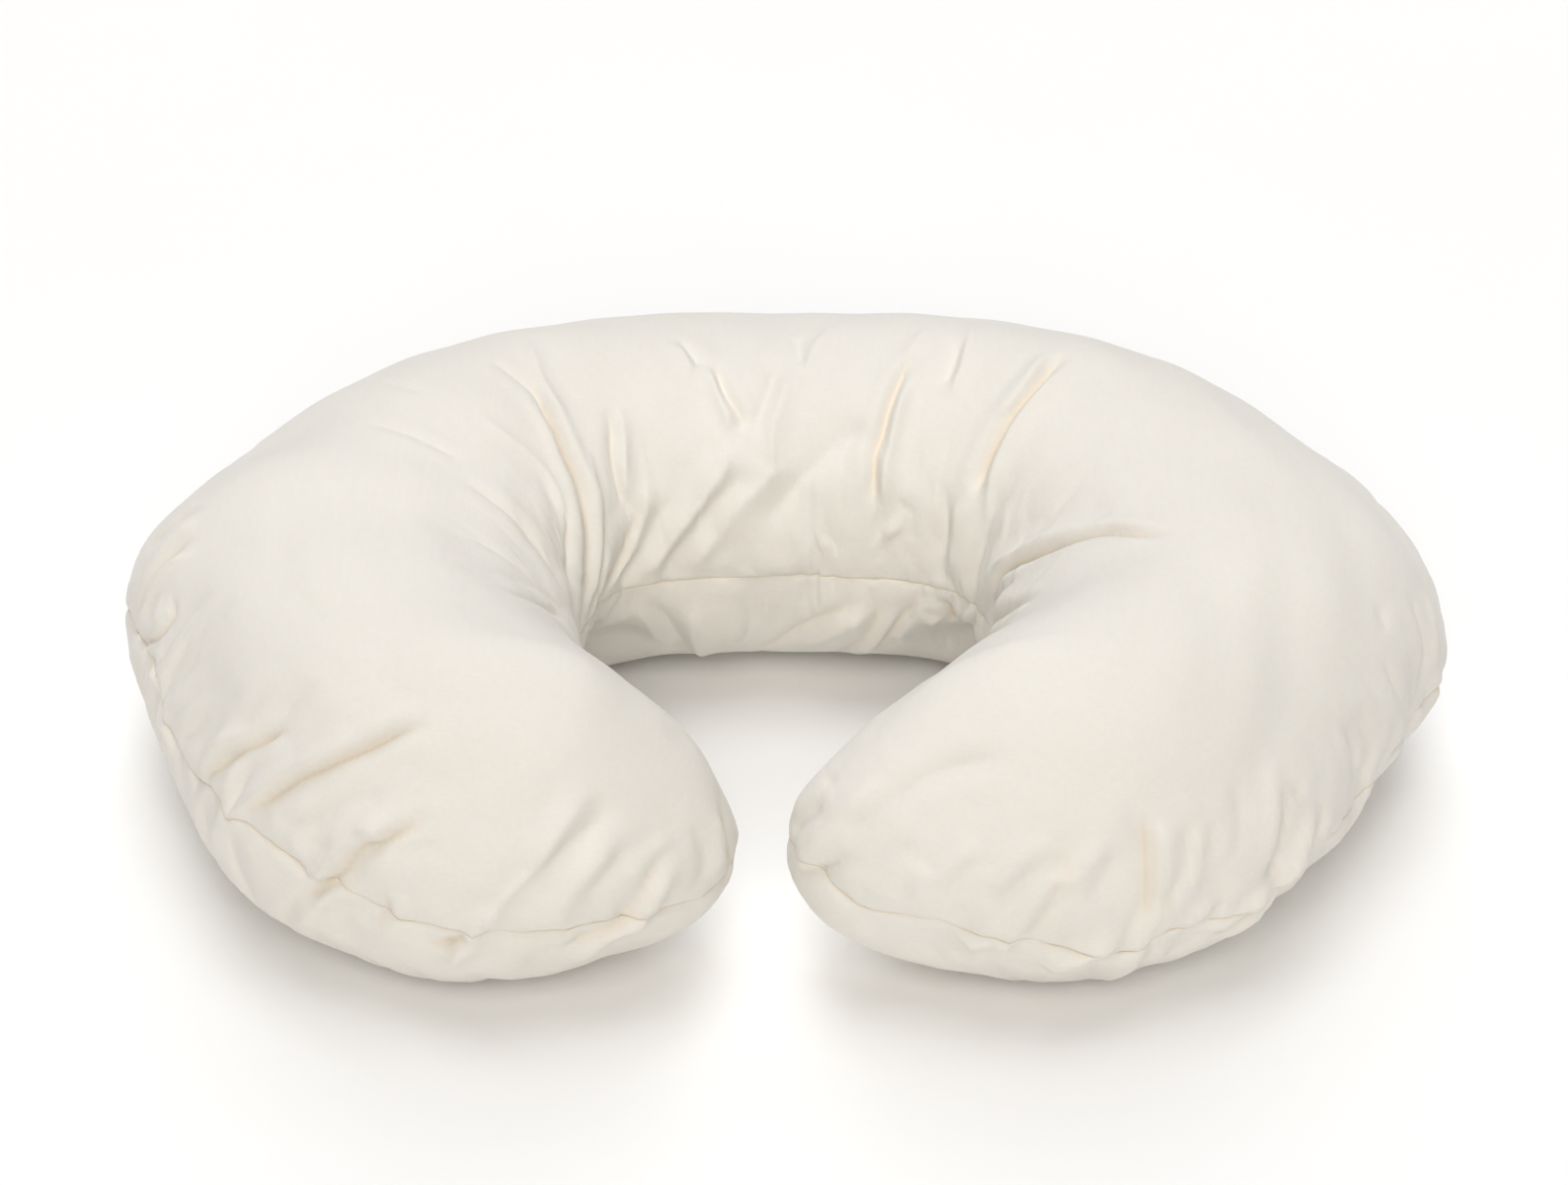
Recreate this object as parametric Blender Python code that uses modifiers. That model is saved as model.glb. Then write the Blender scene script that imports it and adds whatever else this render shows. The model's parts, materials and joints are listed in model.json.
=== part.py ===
# Nursing pillow: a C-shaped stuffed cushion lying flat on its lower face.
# Metres, +Z up. Origin at the middle of the footprint, on the resting plane.
# The mouth of the C and the two arm tips point to -Y, the closed back to +Y.
import math

import bmesh
import bpy
import numpy as np
from mathutils import Matrix, Vector

# ---------------------------------------------------------------- dimensions
ARM_HEIGHT = 0.168          # crown of the arms above the resting plane
BACK_HEIGHT = 0.163         # crown of the back section
ZIP_HEIGHT = 0.074          # height of the perimeter seam along the zip, just below mid-height
REST_SHARE = 0.40           # share of the half-width that lies flat underneath

ARC_RADIUS = 0.340          # the outer back seam is a true arc, so the zip can run on it
ARC_CENTRE_Y = -0.140       # before the outline is centred on the origin
ZIP_HALF_DEG = 30.0         # the zip opening covers this much of the arc each way
ARC_HALF_DEG = 31.5

# right half of the rim, as x, y and seam height: outer edge from the end of the arc,
# round the tip, and the cut-out edge back to the middle. The seam sinks towards the
# tips and is drawn up along the cut-out.
OUTER_POINTS = [(0.2240, 0.1225, 0.0730), (0.2670, 0.0885, 0.0720), (0.2945, 0.0520, 0.0700),
                (0.3050, 0.0100, 0.0680), (0.3010, -0.0330, 0.0660), (0.2870, -0.0740, 0.0640),
                (0.2640, -0.1140, 0.0630), (0.2320, -0.1540, 0.0620)]
TIP_POINTS = [(0.1980, -0.1870, 0.0610), (0.1600, -0.2095, 0.0600), (0.1200, -0.2190, 0.0600),
              (0.0830, -0.2140, 0.0600), (0.0500, -0.1995, 0.0600), (0.0240, -0.1760, 0.0610),
              (0.0125, -0.1500, 0.0630)]
INNER_POINTS = [(0.0230, -0.1260, 0.0660), (0.0450, -0.1030, 0.0700), (0.0690, -0.0820, 0.0740),
                (0.0880, -0.0580, 0.0780), (0.0950, -0.0330, 0.0810), (0.0900, -0.0080, 0.0830),
                (0.0740, 0.0090, 0.0845), (0.0430, 0.0165, 0.0850), (0.0000, 0.0185, 0.0850)]
ARC_STATIONS_DEG = [0.0, 6.0, 12.0, 18.0, 24.0, 30.0, 31.5]
LIMB_STATIONS = 9           # stations from the end of the arc to the start of the tip
TIP_STATIONS = 7

COVER_THICK = 0.0010        # cotton cover with its seam turned in
LINER_THICK = 0.0008        # inner casing
GAP = 0.0003                # clear of the neighbour, all round
LINER_INSET = 0.0034        # casing behind the seam allowance of the cover
ZIP_POCKET = 0.0060         # extra depth behind the zip
FILL_INSET = 0.0066

ZIP_SLOT = 0.0060           # cover edge stands this far from the seam line along the zip
TAPE_THICK = 0.0006
TAPE_R = ARC_RADIUS - 0.0031
COIL_R = ARC_RADIUS - 0.0020
COIL_RADIUS = 0.0010
COIL_OFFSET = 0.0017        # each coil's middle above or below the seam line
ZIP_END_DEG = 29.0
SLIDER_DEG = 26.6           # where the closed slider rests
BAR_OUT = 0.0026            # pull bar outside the arc
PULL_LENGTH = 0.022

LABEL_WIDTH = 0.024
LABEL_DROP = 0.034
LABEL_THICK = 0.0005
LABEL_STATION = 8           # outer station beside which the label hangs

# ---------------------------------------------------------------- clean start
for old in list(bpy.data.objects):
    bpy.data.objects.remove(old, do_unlink=True)
parts = bpy.data.collections.new("nursing_pillow")
bpy.context.scene.collection.children.link(parts)
cutters = bpy.data.collections.new("construction")
bpy.context.scene.collection.children.link(cutters)


def material(name, colour, roughness, metallic=0.0):
    mat = bpy.data.materials.new(name)
    mat.use_nodes = True
    shader = mat.node_tree.nodes["Principled BSDF"]
    shader.inputs["Base Color"].default_value = (*colour, 1.0)
    shader.inputs["Roughness"].default_value = roughness
    shader.inputs["Metallic"].default_value = metallic
    mat.diffuse_color = (*colour, 1.0)
    return mat


def add_mesh(name, bm, mat, collection=parts):
    mesh = bpy.data.meshes.new(name)
    bm.to_mesh(mesh)
    bm.free()
    mesh.materials.append(mat)
    obj = bpy.data.objects.new(name, mesh)
    collection.objects.link(obj)
    return obj


# ---------------------------------------------------------------- plan outline
def smooth_path(points, start_slope=None, end_slope=None):
    """Cubic through the points, by chord length."""
    p = np.array(points, float)
    t = np.concatenate([[0.0], np.cumsum(np.linalg.norm(np.diff(p, axis=0), axis=1))])
    h = np.diff(t)
    n = len(p)
    a = np.zeros((n, n))
    b = np.zeros((n, p.shape[1]))
    for i in range(1, n - 1):
        a[i, i - 1], a[i, i], a[i, i + 1] = h[i], 2 * (h[i] + h[i - 1]), h[i - 1]
        b[i] = 3 * (h[i] * (p[i] - p[i - 1]) / h[i - 1] + h[i - 1] * (p[i + 1] - p[i]) / h[i])
    a[0, 0] = a[-1, -1] = 1.0
    b[0] = start_slope if start_slope is not None else (p[1] - p[0]) / h[0]
    b[-1] = end_slope if end_slope is not None else (p[-1] - p[-2]) / h[-1]
    slope = np.linalg.solve(a, b)

    def at(u):
        """u runs from 0 at the first point to n-1 at the last, whole at each point."""
        i = min(int(u), n - 2)
        w = u - i
        return ((2 * w**3 - 3 * w**2 + 1) * p[i] + (w**3 - 2 * w**2 + w) * h[i] * slope[i]
                + (-2 * w**3 + 3 * w**2) * p[i + 1] + (w**3 - w**2) * h[i] * slope[i + 1])

    def spaced(first, last, count):
        """count + 1 points between two given points, evenly along the curve."""
        fine = np.array([at(u) for u in np.linspace(first, last, 60 * (last - first) + 1)])
        run = np.concatenate([[0.0], np.cumsum(np.linalg.norm(np.diff(fine, axis=0), axis=1))])
        want = np.linspace(0.0, run[-1], count + 1)
        return np.stack([np.interp(want, run, fine[:, c]) for c in range(fine.shape[1])], 1)
    return spaced


def arc_point(deg, radius=ARC_RADIUS):
    a = math.radians(deg)
    return np.array([radius * math.sin(a), ARC_CENTRE_Y + radius * math.cos(a), ZIP_HEIGHT])


edge = math.radians(ARC_HALF_DEG)
n_out, n_tip, n_in = len(OUTER_POINTS), len(TIP_POINTS), len(INNER_POINTS)
rim_path = smooth_path([tuple(arc_point(ARC_HALF_DEG))] + OUTER_POINTS + TIP_POINTS + INNER_POINTS,
                       start_slope=(math.cos(edge), -math.sin(edge), 0.0),
                       end_slope=(-1.0, 0.0, 0.0))
outer = np.vstack([[arc_point(d) for d in ARC_STATIONS_DEG], rim_path(0, n_out, LIMB_STATIONS)[1:]])
n_station = len(outer)
tip = rim_path(n_out, n_out + n_tip + 1, TIP_STATIONS)[1:-1]
inner = rim_path(n_out + n_tip + 1, n_out + n_tip + n_in, n_station - 1)[::-1].copy()
inner[0, 0] = 0.0
spine = 0.5 * (outer + inner)[:, :2]
spine[0, 0] = 0.0

# centre the footprint on the origin
low_y, high_y = float(tip[:, 1].min()), float(outer[0, 1])
shift = -0.5 * (low_y + high_y)
for group in (outer, inner, spine, tip):
    group[:, 1] += shift
ARC_Y = ARC_CENTRE_Y + shift

# one half of the rim, in order: outer edge, tip, cut-out edge
rim3 = np.vstack([outer, tip, inner[::-1]])
rim, seam = rim3[:, :2], rim3[:, 2]
mid = np.vstack([spine, np.repeat(spine[-1:], len(tip), axis=0), spine[::-1]])
crown = []
for k in range(n_station):
    f = min(1.0, k / (n_station * 0.55))
    f = f * f * (3 - 2 * f)
    crown.append(BACK_HEIGHT + (ARM_HEIGHT - BACK_HEIGHT) * f)
crown = np.array(crown + [crown[-1]] * len(tip) + crown[::-1])

# outward direction of the rim in plan
ahead = np.vstack([rim[1:], rim[-1:]])
behind = np.vstack([rim[:1], rim[:-1]])
run = ahead - behind
run[0] = (1.0, 0.0)
run[-1] = (-1.0, 0.0)
out_dir = np.stack([-run[:, 1], run[:, 0]], 1)
out_dir /= np.linalg.norm(out_dir, axis=1)[:, None]
n_rim = len(rim)
on_arc = len(ARC_STATIONS_DEG)


def rim_inset(base, pocket=0.0):
    """How far each rim point is drawn in; deeper behind the zip."""
    depth = np.full(n_rim, base)
    for k in range(n_rim):
        if k < on_arc:
            depth[k] += pocket
        elif k == on_arc:
            depth[k] += 0.5 * pocket
    return depth


def slot_height(opening):
    """Height of a panel's edge above or below the seam line: wide along the zip."""
    return [opening if k < on_arc - 1 else 0.5 * GAP for k in range(n_rim)]


LIP = 0.0020                # the first strip beside the seam stands upright
TOP_PINCH, BASE_PINCH = 1.14, 1.28   # above 1 the section draws in towards the seam
TOP_ROWS = [0.0, 0.28, 0.54, 0.78, 1.0]
BASE_ROWS = [0.0, 0.36, 0.70, 1.0]


def top_rows(k, plan, rise, edge_up):
    s = rim[k] - out_dir[k] * plan[k]
    start = seam[k] + edge_up[k] + LIP
    peak = crown[k] - rise
    rows = [(*s, start - LIP)]
    for r in TOP_ROWS:
        a = 0.5 * math.pi * r
        w, h = math.cos(a) ** TOP_PINCH, math.sin(a) ** TOP_PINCH
        rows.append((*(mid[k] + (s - mid[k]) * (w if r < 1 else 0.0)), start + (peak - start) * h))
    return rows


def base_rows(k, plan, rise, edge_down):
    s = rim[k] - out_dir[k] * plan[k]
    start = seam[k] - edge_down[k] - LIP
    rows = [(*s, start + LIP)]
    for r in BASE_ROWS:
        a = 0.5 * math.pi * r
        w = REST_SHARE + (1 - REST_SHARE) * (math.cos(a) ** BASE_PINCH if r < 1 else 0.0)
        rows.append((*(mid[k] + (s - mid[k]) * w), start + (rise - start) * math.sin(a) ** BASE_PINCH))
    rows.append((*mid[k], rise))
    return rows


def loft(columns, bm, flip=False):
    """Quads between neighbouring columns of points."""
    grid = [[bm.verts.new(Vector(p)) for p in col] for col in columns]
    for c in range(len(grid) - 1):
        for r in range(len(grid[0]) - 1):
            quad = [grid[c][r], grid[c + 1][r], grid[c + 1][r + 1], grid[c][r + 1]]
            bm.faces.new(quad[::-1] if flip else quad)


def mirrored(name, bm, mat, thickness=None):
    bmesh.ops.remove_doubles(bm, verts=bm.verts, dist=1e-6)
    obj = add_mesh(name, bm, mat)
    mirror = obj.modifiers.new("other_half", "MIRROR")
    mirror.use_axis[0] = True
    mirror.use_clip = True
    mirror.merge_threshold = 0.0001
    if thickness:
        shell = obj.modifiers.new("cloth", "SOLIDIFY")
        shell.thickness = thickness
        shell.offset = -1.0
        shell.use_even_offset = True
    obj.data.shade_smooth()
    return obj


def panel(name, side, plan, rise, edge, mat, thickness):
    bm = bmesh.new()
    if side == "top":
        loft([top_rows(k, plan, rise, edge) for k in range(n_rim)], bm, flip=True)
    else:
        loft([base_rows(k, plan, rise, edge) for k in range(n_rim)], bm)
    return mirrored(name, bm, mat, thickness)


# ---------------------------------------------------------------- materials
cotton = material("cover_cotton", (0.86, 0.82, 0.75), 0.85)
cotton_base = material("cover_cotton_base", (0.84, 0.80, 0.73), 0.85)
casing = material("casing_cotton", (0.90, 0.89, 0.86), 0.88)
fibre = material("fibre_fill", (0.93, 0.93, 0.92), 0.95)
thread = material("sewing_thread", (0.85, 0.80, 0.72), 0.7)
tape_cloth = material("zip_tape_cloth", (0.83, 0.79, 0.71), 0.8)
coil_nylon = material("zip_coil_nylon", (0.80, 0.76, 0.68), 0.45)
zip_metal = material("zip_metal", (0.62, 0.61, 0.59), 0.32, 1.0)
label_cloth = material("label_cloth", (0.92, 0.92, 0.91), 0.75)

# ---------------------------------------------------------------- sewn body
no_inset = rim_inset(0.0)
cover_slot = slot_height(ZIP_SLOT)
shut = [0.5 * GAP] * n_rim
panel("cover_top_panel", "top", no_inset, 0.0, cover_slot, cotton, COVER_THICK)
panel("cover_bottom_panel", "base", no_inset, 0.0, cover_slot, cotton_base, COVER_THICK)

liner_plan = rim_inset(LINER_INSET, ZIP_POCKET)
liner_rise = COVER_THICK + 2 * GAP
panel("liner_top_panel", "top", liner_plan, liner_rise, shut, casing, LINER_THICK)
panel("liner_bottom_panel", "base", liner_plan, liner_rise, shut, casing, LINER_THICK)

fill_plan = rim_inset(FILL_INSET, ZIP_POCKET)
fill_rise = liner_rise + LINER_THICK + 2 * GAP
level = [0.0] * n_rim
bm = bmesh.new()
loft([top_rows(k, fill_plan, fill_rise, level) for k in range(n_rim)], bm, flip=True)
loft([base_rows(k, fill_plan, fill_rise, level) for k in range(n_rim)], bm)
mirrored("fibre_filling", bm, fibre)


def seam_run(name, plan, first, radius, closed, mat):
    """Line of stitching: a thread lying in the seam, from rim point `first` round the tips."""
    half = [(*(rim[k] - out_dir[k] * plan[k]), seam[k]) for k in range(first, n_rim)]
    other = [(-x, y, z) for x, y, z in half[::-1]]
    line = half + (other[1:-1] if closed else other[1:])
    curve = bpy.data.curves.new(name, "CURVE")
    curve.dimensions = "3D"
    curve.bevel_depth = radius
    curve.bevel_resolution = 0
    curve.use_fill_caps = not closed
    spline = curve.splines.new("POLY")
    spline.points.add(len(line) - 1)
    for point, co in zip(spline.points, line):
        point.co = (*co, 1.0)
    spline.use_cyclic_u = closed
    curve.materials.append(mat)
    obj = bpy.data.objects.new(name, curve)
    parts.objects.link(obj)


seam_run("cover_seam_thread", rim_inset(0.0020), on_arc, 0.0005, False, thread)
seam_run("liner_seam_thread", rim_inset(LINER_INSET + 0.0019, ZIP_POCKET), 0, 0.0004, True, thread)


# ---------------------------------------------------------------- zip on the arc
def around(deg, radius, z):
    a = math.radians(deg)
    return Vector((radius * math.sin(a), ARC_Y + radius * math.cos(a), z))


def tape(name, side):
    near, far = COIL_OFFSET + COIL_RADIUS + GAP, 0.0110
    bm = bmesh.new()
    steps = 32
    bmesh.ops.create_grid(bm, x_segments=steps, y_segments=1, size=1.0)
    for v in bm.verts:
        deg = v.co.x * ZIP_END_DEG
        z = ZIP_HEIGHT + side * (near + (far - near) * (0.5 + 0.5 * side * v.co.y))
        v.co = around(deg, TAPE_R, z)
    bmesh.ops.recalc_face_normals(bm, faces=bm.faces)
    obj = add_mesh(name, bm, tape_cloth)
    shell = obj.modifiers.new("woven", "SOLIDIFY")
    shell.thickness = TAPE_THICK
    shell.offset = 0.0
    return obj


def coil(name, side):
    curve = bpy.data.curves.new(name, "CURVE")
    curve.dimensions = "3D"
    curve.bevel_depth = COIL_RADIUS
    curve.bevel_resolution = 2
    curve.use_fill_caps = True
    spline = curve.splines.new("POLY")
    steps = 30
    spline.points.add(steps)
    for k, point in enumerate(spline.points):
        deg = -ZIP_END_DEG + 0.6 + (2 * ZIP_END_DEG - 1.2) * k / steps
        point.co = (*around(deg, COIL_R, ZIP_HEIGHT + side * COIL_OFFSET), 1.0)
    curve.materials.append(coil_nylon)
    obj = bpy.data.objects.new(name, curve)
    parts.objects.link(obj)


tape("zip_tape_upper", 1)
tape("zip_tape_lower", -1)
coil("zip_coil_upper", 1)
coil("zip_coil_lower", -1)


def block(name, size, at, mat, bevel=0.0, collection=parts):
    bm = bmesh.new()
    bmesh.ops.create_cube(bm, size=1.0)
    for v in bm.verts:
        v.co = Vector((v.co.x * size[0], v.co.y * size[1], v.co.z * size[2])) + Vector(at)
    obj = add_mesh(name, bm, mat, collection)
    if bevel:
        soft = obj.modifiers.new("soft_edges", "BEVEL")
        soft.width = bevel
        soft.segments = 1
    return obj


def on_arc_frame(deg):
    """Placement whose local +Y points out of the arc and local +X runs along it."""
    return Matrix.Translation((0.0, ARC_Y, ZIP_HEIGHT)) @ Matrix.Rotation(-math.radians(deg), 4, "Z")


stop = block("zip_bottom_stop", (0.0022, 0.0024, 0.0052), (0.0, COIL_R, 0.0), zip_metal, 0.0004)
stop.matrix_world = on_arc_frame(-ZIP_END_DEG - 0.05)
for name, side in (("zip_top_stop_upper", 1), ("zip_top_stop_lower", -1)):
    stop = block(name, (0.0020, 0.0024, 0.0018), (0.0, COIL_R, side * 0.0018), zip_metal, 0.0004)
    stop.matrix_world = on_arc_frame(ZIP_END_DEG + 0.05)

# slider: an outer and an inner plate joined by the web that runs between the coils,
# with two ears and a bar for the pull. Its empty stands on the centre of the arc.
travel = bpy.data.objects.new("zip_travel_axis", None)
parts.objects.link(travel)
travel.location = (0.0, ARC_Y, ZIP_HEIGHT)
travel.rotation_euler = (0.0, 0.0, -math.radians(SLIDER_DEG))

slider = block("zip_slider", (0.0094, 0.0012, 0.0088), (0.0, ARC_RADIUS, 0.0), zip_metal, 0.0004)
slider.parent = travel
pieces = [
    ((0.0086, 0.0012, 0.0088), (0.0, ARC_RADIUS - 0.0045, 0.0)),
    ((0.0060, 0.0046, 0.0007), (0.0, ARC_RADIUS - 0.0022, 0.0)),
    ((0.0022, 0.0032, 0.0010), (0.0, ARC_RADIUS + 0.0019, 0.0026)),
    ((0.0022, 0.0032, 0.0010), (0.0, ARC_RADIUS + 0.0019, -0.0026)),
]
for k, (size, at) in enumerate(pieces):
    tool = block(f"slider_piece_{k}", size, at, zip_metal, 0.0, cutters)
    tool.parent = travel
    tool.hide_render = True
    tool.display_type = "WIRE"
    join = slider.modifiers.new(f"join_{k}", "BOOLEAN")
    join.operation = "UNION"
    join.solver = "EXACT"
    join.object = tool
bm = bmesh.new()
bmesh.ops.create_cone(bm, cap_ends=True, segments=12, radius1=0.0005, radius2=0.0005, depth=0.0056,
                      matrix=Matrix.Translation((0.0, ARC_RADIUS + BAR_OUT, 0.0)))
bar = add_mesh("slider_bar", bm, zip_metal, cutters)
bar.parent = travel
bar.hide_render = True
bar.display_type = "WIRE"
join = slider.modifiers.new("join_bar", "BOOLEAN")
join.operation = "UNION"
join.solver = "EXACT"
join.object = bar

# pull tab: an eye round the bar and a flat grip, lying along the seam
pull_axis = bpy.data.objects.new("zip_pull_axis", None)
parts.objects.link(pull_axis)
pull_axis.parent = travel
pull_axis.location = (0.0, ARC_RADIUS + BAR_OUT, 0.0)


def grip_outline():
    """Outline of the pull in its own plane, before the eye is bored."""
    half = [(0.0000, 0.0016), (0.0035, 0.0016), (0.0065, 0.0026), (PULL_LENGTH - 0.0030, 0.0034),
            (PULL_LENGTH - 0.0008, 0.0026), (PULL_LENGTH, 0.0010)]
    return half + [(x, -z) for x, z in half[::-1]]


bm = bmesh.new()
ring = [bm.verts.new((-x, -0.00045, z)) for x, z in grip_outline()]
face = bm.faces.new(ring)
thick = bmesh.ops.extrude_face_region(bm, geom=[face])
bmesh.ops.translate(bm, verts=[e for e in thick["geom"] if isinstance(e, bmesh.types.BMVert)],
                    vec=(0.0, 0.0009, 0.0))
bmesh.ops.recalc_face_normals(bm, faces=bm.faces)
pull = add_mesh("zip_pull", bm, zip_metal)
pull.parent = pull_axis
bm = bmesh.new()
bmesh.ops.create_cone(bm, cap_ends=True, segments=16, radius1=0.0015, radius2=0.0015, depth=0.0032)
eye = add_mesh("pull_eye", bm, zip_metal, cutters)
bm = bmesh.new()
bmesh.ops.create_cone(bm, cap_ends=True, segments=16, radius1=0.00088, radius2=0.00088, depth=0.0100)
bore = add_mesh("pull_bore", bm, zip_metal, cutters)
for tool, operation in ((eye, "UNION"), (bore, "DIFFERENCE")):
    tool.parent = pull_axis
    tool.hide_render = True
    tool.display_type = "WIRE"
    cut = pull.modifiers.new(operation.lower(), "BOOLEAN")
    cut.operation = operation
    cut.solver = "EXACT"
    cut.object = tool

# ---------------------------------------------------------------- care label
# a blank tab sewn into the outer back seam, hanging from its upper edge
anchor = rim3[LABEL_STATION] * np.array([-1.0, 1.0, 1.0])
away = out_dir[LABEL_STATION] * np.array([-1.0, 1.0])
label_axis = bpy.data.objects.new("label_axis", None)
parts.objects.link(label_axis)
label_axis.location = (anchor[0] + away[0] * 0.0011, anchor[1] + away[1] * 0.0011, anchor[2])
label_axis.rotation_euler = (0.0, 0.0, math.atan2(away[1], away[0]) - 0.5 * math.pi)
label = block("care_label", (LABEL_WIDTH, LABEL_THICK, LABEL_DROP), (0.0, 0.0, -0.5 * LABEL_DROP),
              label_cloth)
label.parent = label_axis
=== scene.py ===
import json
import math

import bmesh
import bpy
import numpy as np
from mathutils import Matrix, Vector


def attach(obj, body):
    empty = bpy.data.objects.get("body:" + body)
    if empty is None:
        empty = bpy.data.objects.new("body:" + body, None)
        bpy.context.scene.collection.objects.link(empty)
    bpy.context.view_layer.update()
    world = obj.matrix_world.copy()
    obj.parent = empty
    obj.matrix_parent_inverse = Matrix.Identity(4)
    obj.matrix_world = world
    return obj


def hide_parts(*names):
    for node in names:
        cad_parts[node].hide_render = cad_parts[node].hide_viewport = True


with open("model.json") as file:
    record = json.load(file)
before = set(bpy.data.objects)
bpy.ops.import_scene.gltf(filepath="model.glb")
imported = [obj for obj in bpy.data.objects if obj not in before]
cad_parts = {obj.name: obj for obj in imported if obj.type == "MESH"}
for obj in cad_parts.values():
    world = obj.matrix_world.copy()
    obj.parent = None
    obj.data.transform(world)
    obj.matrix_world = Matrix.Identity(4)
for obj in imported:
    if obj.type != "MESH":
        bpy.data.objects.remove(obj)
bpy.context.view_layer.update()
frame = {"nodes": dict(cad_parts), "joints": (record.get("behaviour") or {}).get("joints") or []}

joints = {j["name"]: j for j in frame["joints"]}

# ------------------------------------------------------------------ plan of the sewn panels
# The zip runs on this arc, at this height.
ARC_R = 0.340
ARC_Y = joints["zip_travel"]["pos_m"][1]
ZIP_Z = joints["zip_travel"]["pos_m"][2]
ARC_DEG = 31.5
ZIP_DEG = 30.0

# Half outlines of the rim (x outward, y, seam height): outer edge, tip, cut-out edge.
# The two arms are stuffed a little differently.
HALVES = {
    1: [(0.2170, 0.1380, .0730), (0.2570, 0.1030, .0720), (0.2880, 0.0610, .0700), (0.3045, 0.0185, .0680),
        (0.3040, -0.0230, .0660), (0.2880, -0.0620, .0640), (0.2640, -0.1020, .0630), (0.2355, -0.1440, .0620),
        (0.2015, -0.1790, .0610), (0.1610, -0.2020, .0600), (0.1180, -0.2110, .0600), (0.0780, -0.2085, .0600),
        (0.0430, -0.1970, .0600), (0.0150, -0.1780, .0610), (0.0040, -0.1500, .0630),
        (0.0290, -0.1235, .0660), (0.0610, -0.1025, .0700), (0.0845, -0.0780, .0740), (0.0955, -0.0480, .0780),
        (0.0950, -0.0180, .0810), (0.0880, 0.0060, .0830), (0.0700, 0.0210, .0845), (0.0390, 0.0262, .0850)],
    -1: [(0.2165, 0.1400, .0730), (0.2493, 0.1136, .0725), (0.2830, 0.0680, .0700), (0.3050, 0.0235, .0680),
         (0.3000, -0.0170, .0660), (0.2855, -0.0640, .0640), (0.2650, -0.1100, .0630), (0.2380, -0.1520, .0620),
         (0.1970, -0.1850, .0610), (0.1530, -0.2040, .0600), (0.1110, -0.2075, .0600), (0.0730, -0.2000, .0600),
         (0.0450, -0.1830, .0600), (0.0255, -0.1630, .0610), (0.0200, -0.1410, .0630),
         (0.0340, -0.1200, .0660), (0.0580, -0.1030, .0700), (0.0780, -0.0830, .0740), (0.0900, -0.0570, .0780),
         (0.0930, -0.0260, .0810), (0.0860, 0.0010, .0830), (0.0700, 0.0185, .0845), (0.0400, 0.0258, .0850)],
}
N_OUT, N_TIP, N_IN = 8, 7, 9        # how many of those lie on each stretch, the middle counted in
MID_Y, MID_Z = 0.0278, 0.0850       # middle of the cut-out edge

ARM_H, BACK_H = 0.168, 0.158
Q_TOP, Q_BASE, REST = 0.55, 0.54, 0.18

COLS_ARC, COLS_LIMB, COLS_TIP, ROWS = 110, 170, 90, 75


def cubic(points, start, end):
    p = np.array(points, float)
    t = np.concatenate([[0.0], np.cumsum(np.linalg.norm(np.diff(p[:, :2], axis=0), axis=1))])
    h = np.diff(t)
    n = len(p)
    a, b = np.zeros((n, n)), np.zeros_like(p)
    for i in range(1, n - 1):
        a[i, i - 1], a[i, i], a[i, i + 1] = h[i], 2 * (h[i] + h[i - 1]), h[i - 1]
        b[i] = 3 * (h[i] * (p[i] - p[i - 1]) / h[i - 1] + h[i - 1] * (p[i + 1] - p[i]) / h[i])
    a[0, 0] = a[-1, -1] = 1.0
    b[0], b[-1] = start, end
    m = np.linalg.solve(a, b)

    def at(u):
        u = np.asarray(u, float)
        i = np.clip(u.astype(int), 0, n - 2)
        w, hi = (u - i)[:, None], h[i][:, None]
        return ((2 * w**3 - 3 * w**2 + 1) * p[i] + (w**3 - 2 * w**2 + w) * hi * m[i]
                + (-2 * w**3 + 3 * w**2) * p[i + 1] + (w**3 - w**2) * hi * m[i + 1])
    return at


def spaced(at, first, last, count):
    fine = at(np.linspace(first, last, int(120 * (last - first)) + 1))
    run = np.concatenate([[0.0], np.cumsum(np.linalg.norm(np.diff(fine, axis=0), axis=1))])
    want = np.linspace(0.0, run[-1], count + 1)
    return np.stack([np.interp(want, run, fine[:, c]) for c in range(fine.shape[1])], 1)


def half_rim(side):
    e = math.radians(ARC_DEG)
    a = np.linspace(0.0, e, COLS_ARC + 1)
    arc = np.stack([ARC_R * np.sin(a), ARC_Y + ARC_R * np.cos(a), np.full_like(a, ZIP_Z)], 1)
    pts = [tuple(arc[-1])] + HALVES[side] + [(0.0, MID_Y, MID_Z)]
    at = cubic(pts, (math.cos(e), -math.sin(e), 0.0), (-1.0, 0.0, 0.0))
    out = np.vstack([arc, spaced(at, 0, N_OUT, COLS_LIMB)[1:]])
    tip = spaced(at, N_OUT, N_OUT + N_TIP + 1, COLS_TIP)[1:-1]
    inn = spaced(at, N_OUT + N_TIP + 1, N_OUT + N_TIP + N_IN, len(out) - 1)[::-1].copy()
    inn[0, 0] = 0.0
    for g in (out, tip, inn):
        g[:, 0] *= side
    return out, tip, inn


def smooth(a, n, closed=False):
    for _ in range(n):
        if closed:
            a = 0.25 * np.roll(a, 1, 0) + 0.5 * a + 0.25 * np.roll(a, -1, 0)
        else:
            b = a.copy()
            b[1:-1] = 0.25 * a[:-2] + 0.5 * a[1:-1] + 0.25 * a[2:]
            a = b
    return a


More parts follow.
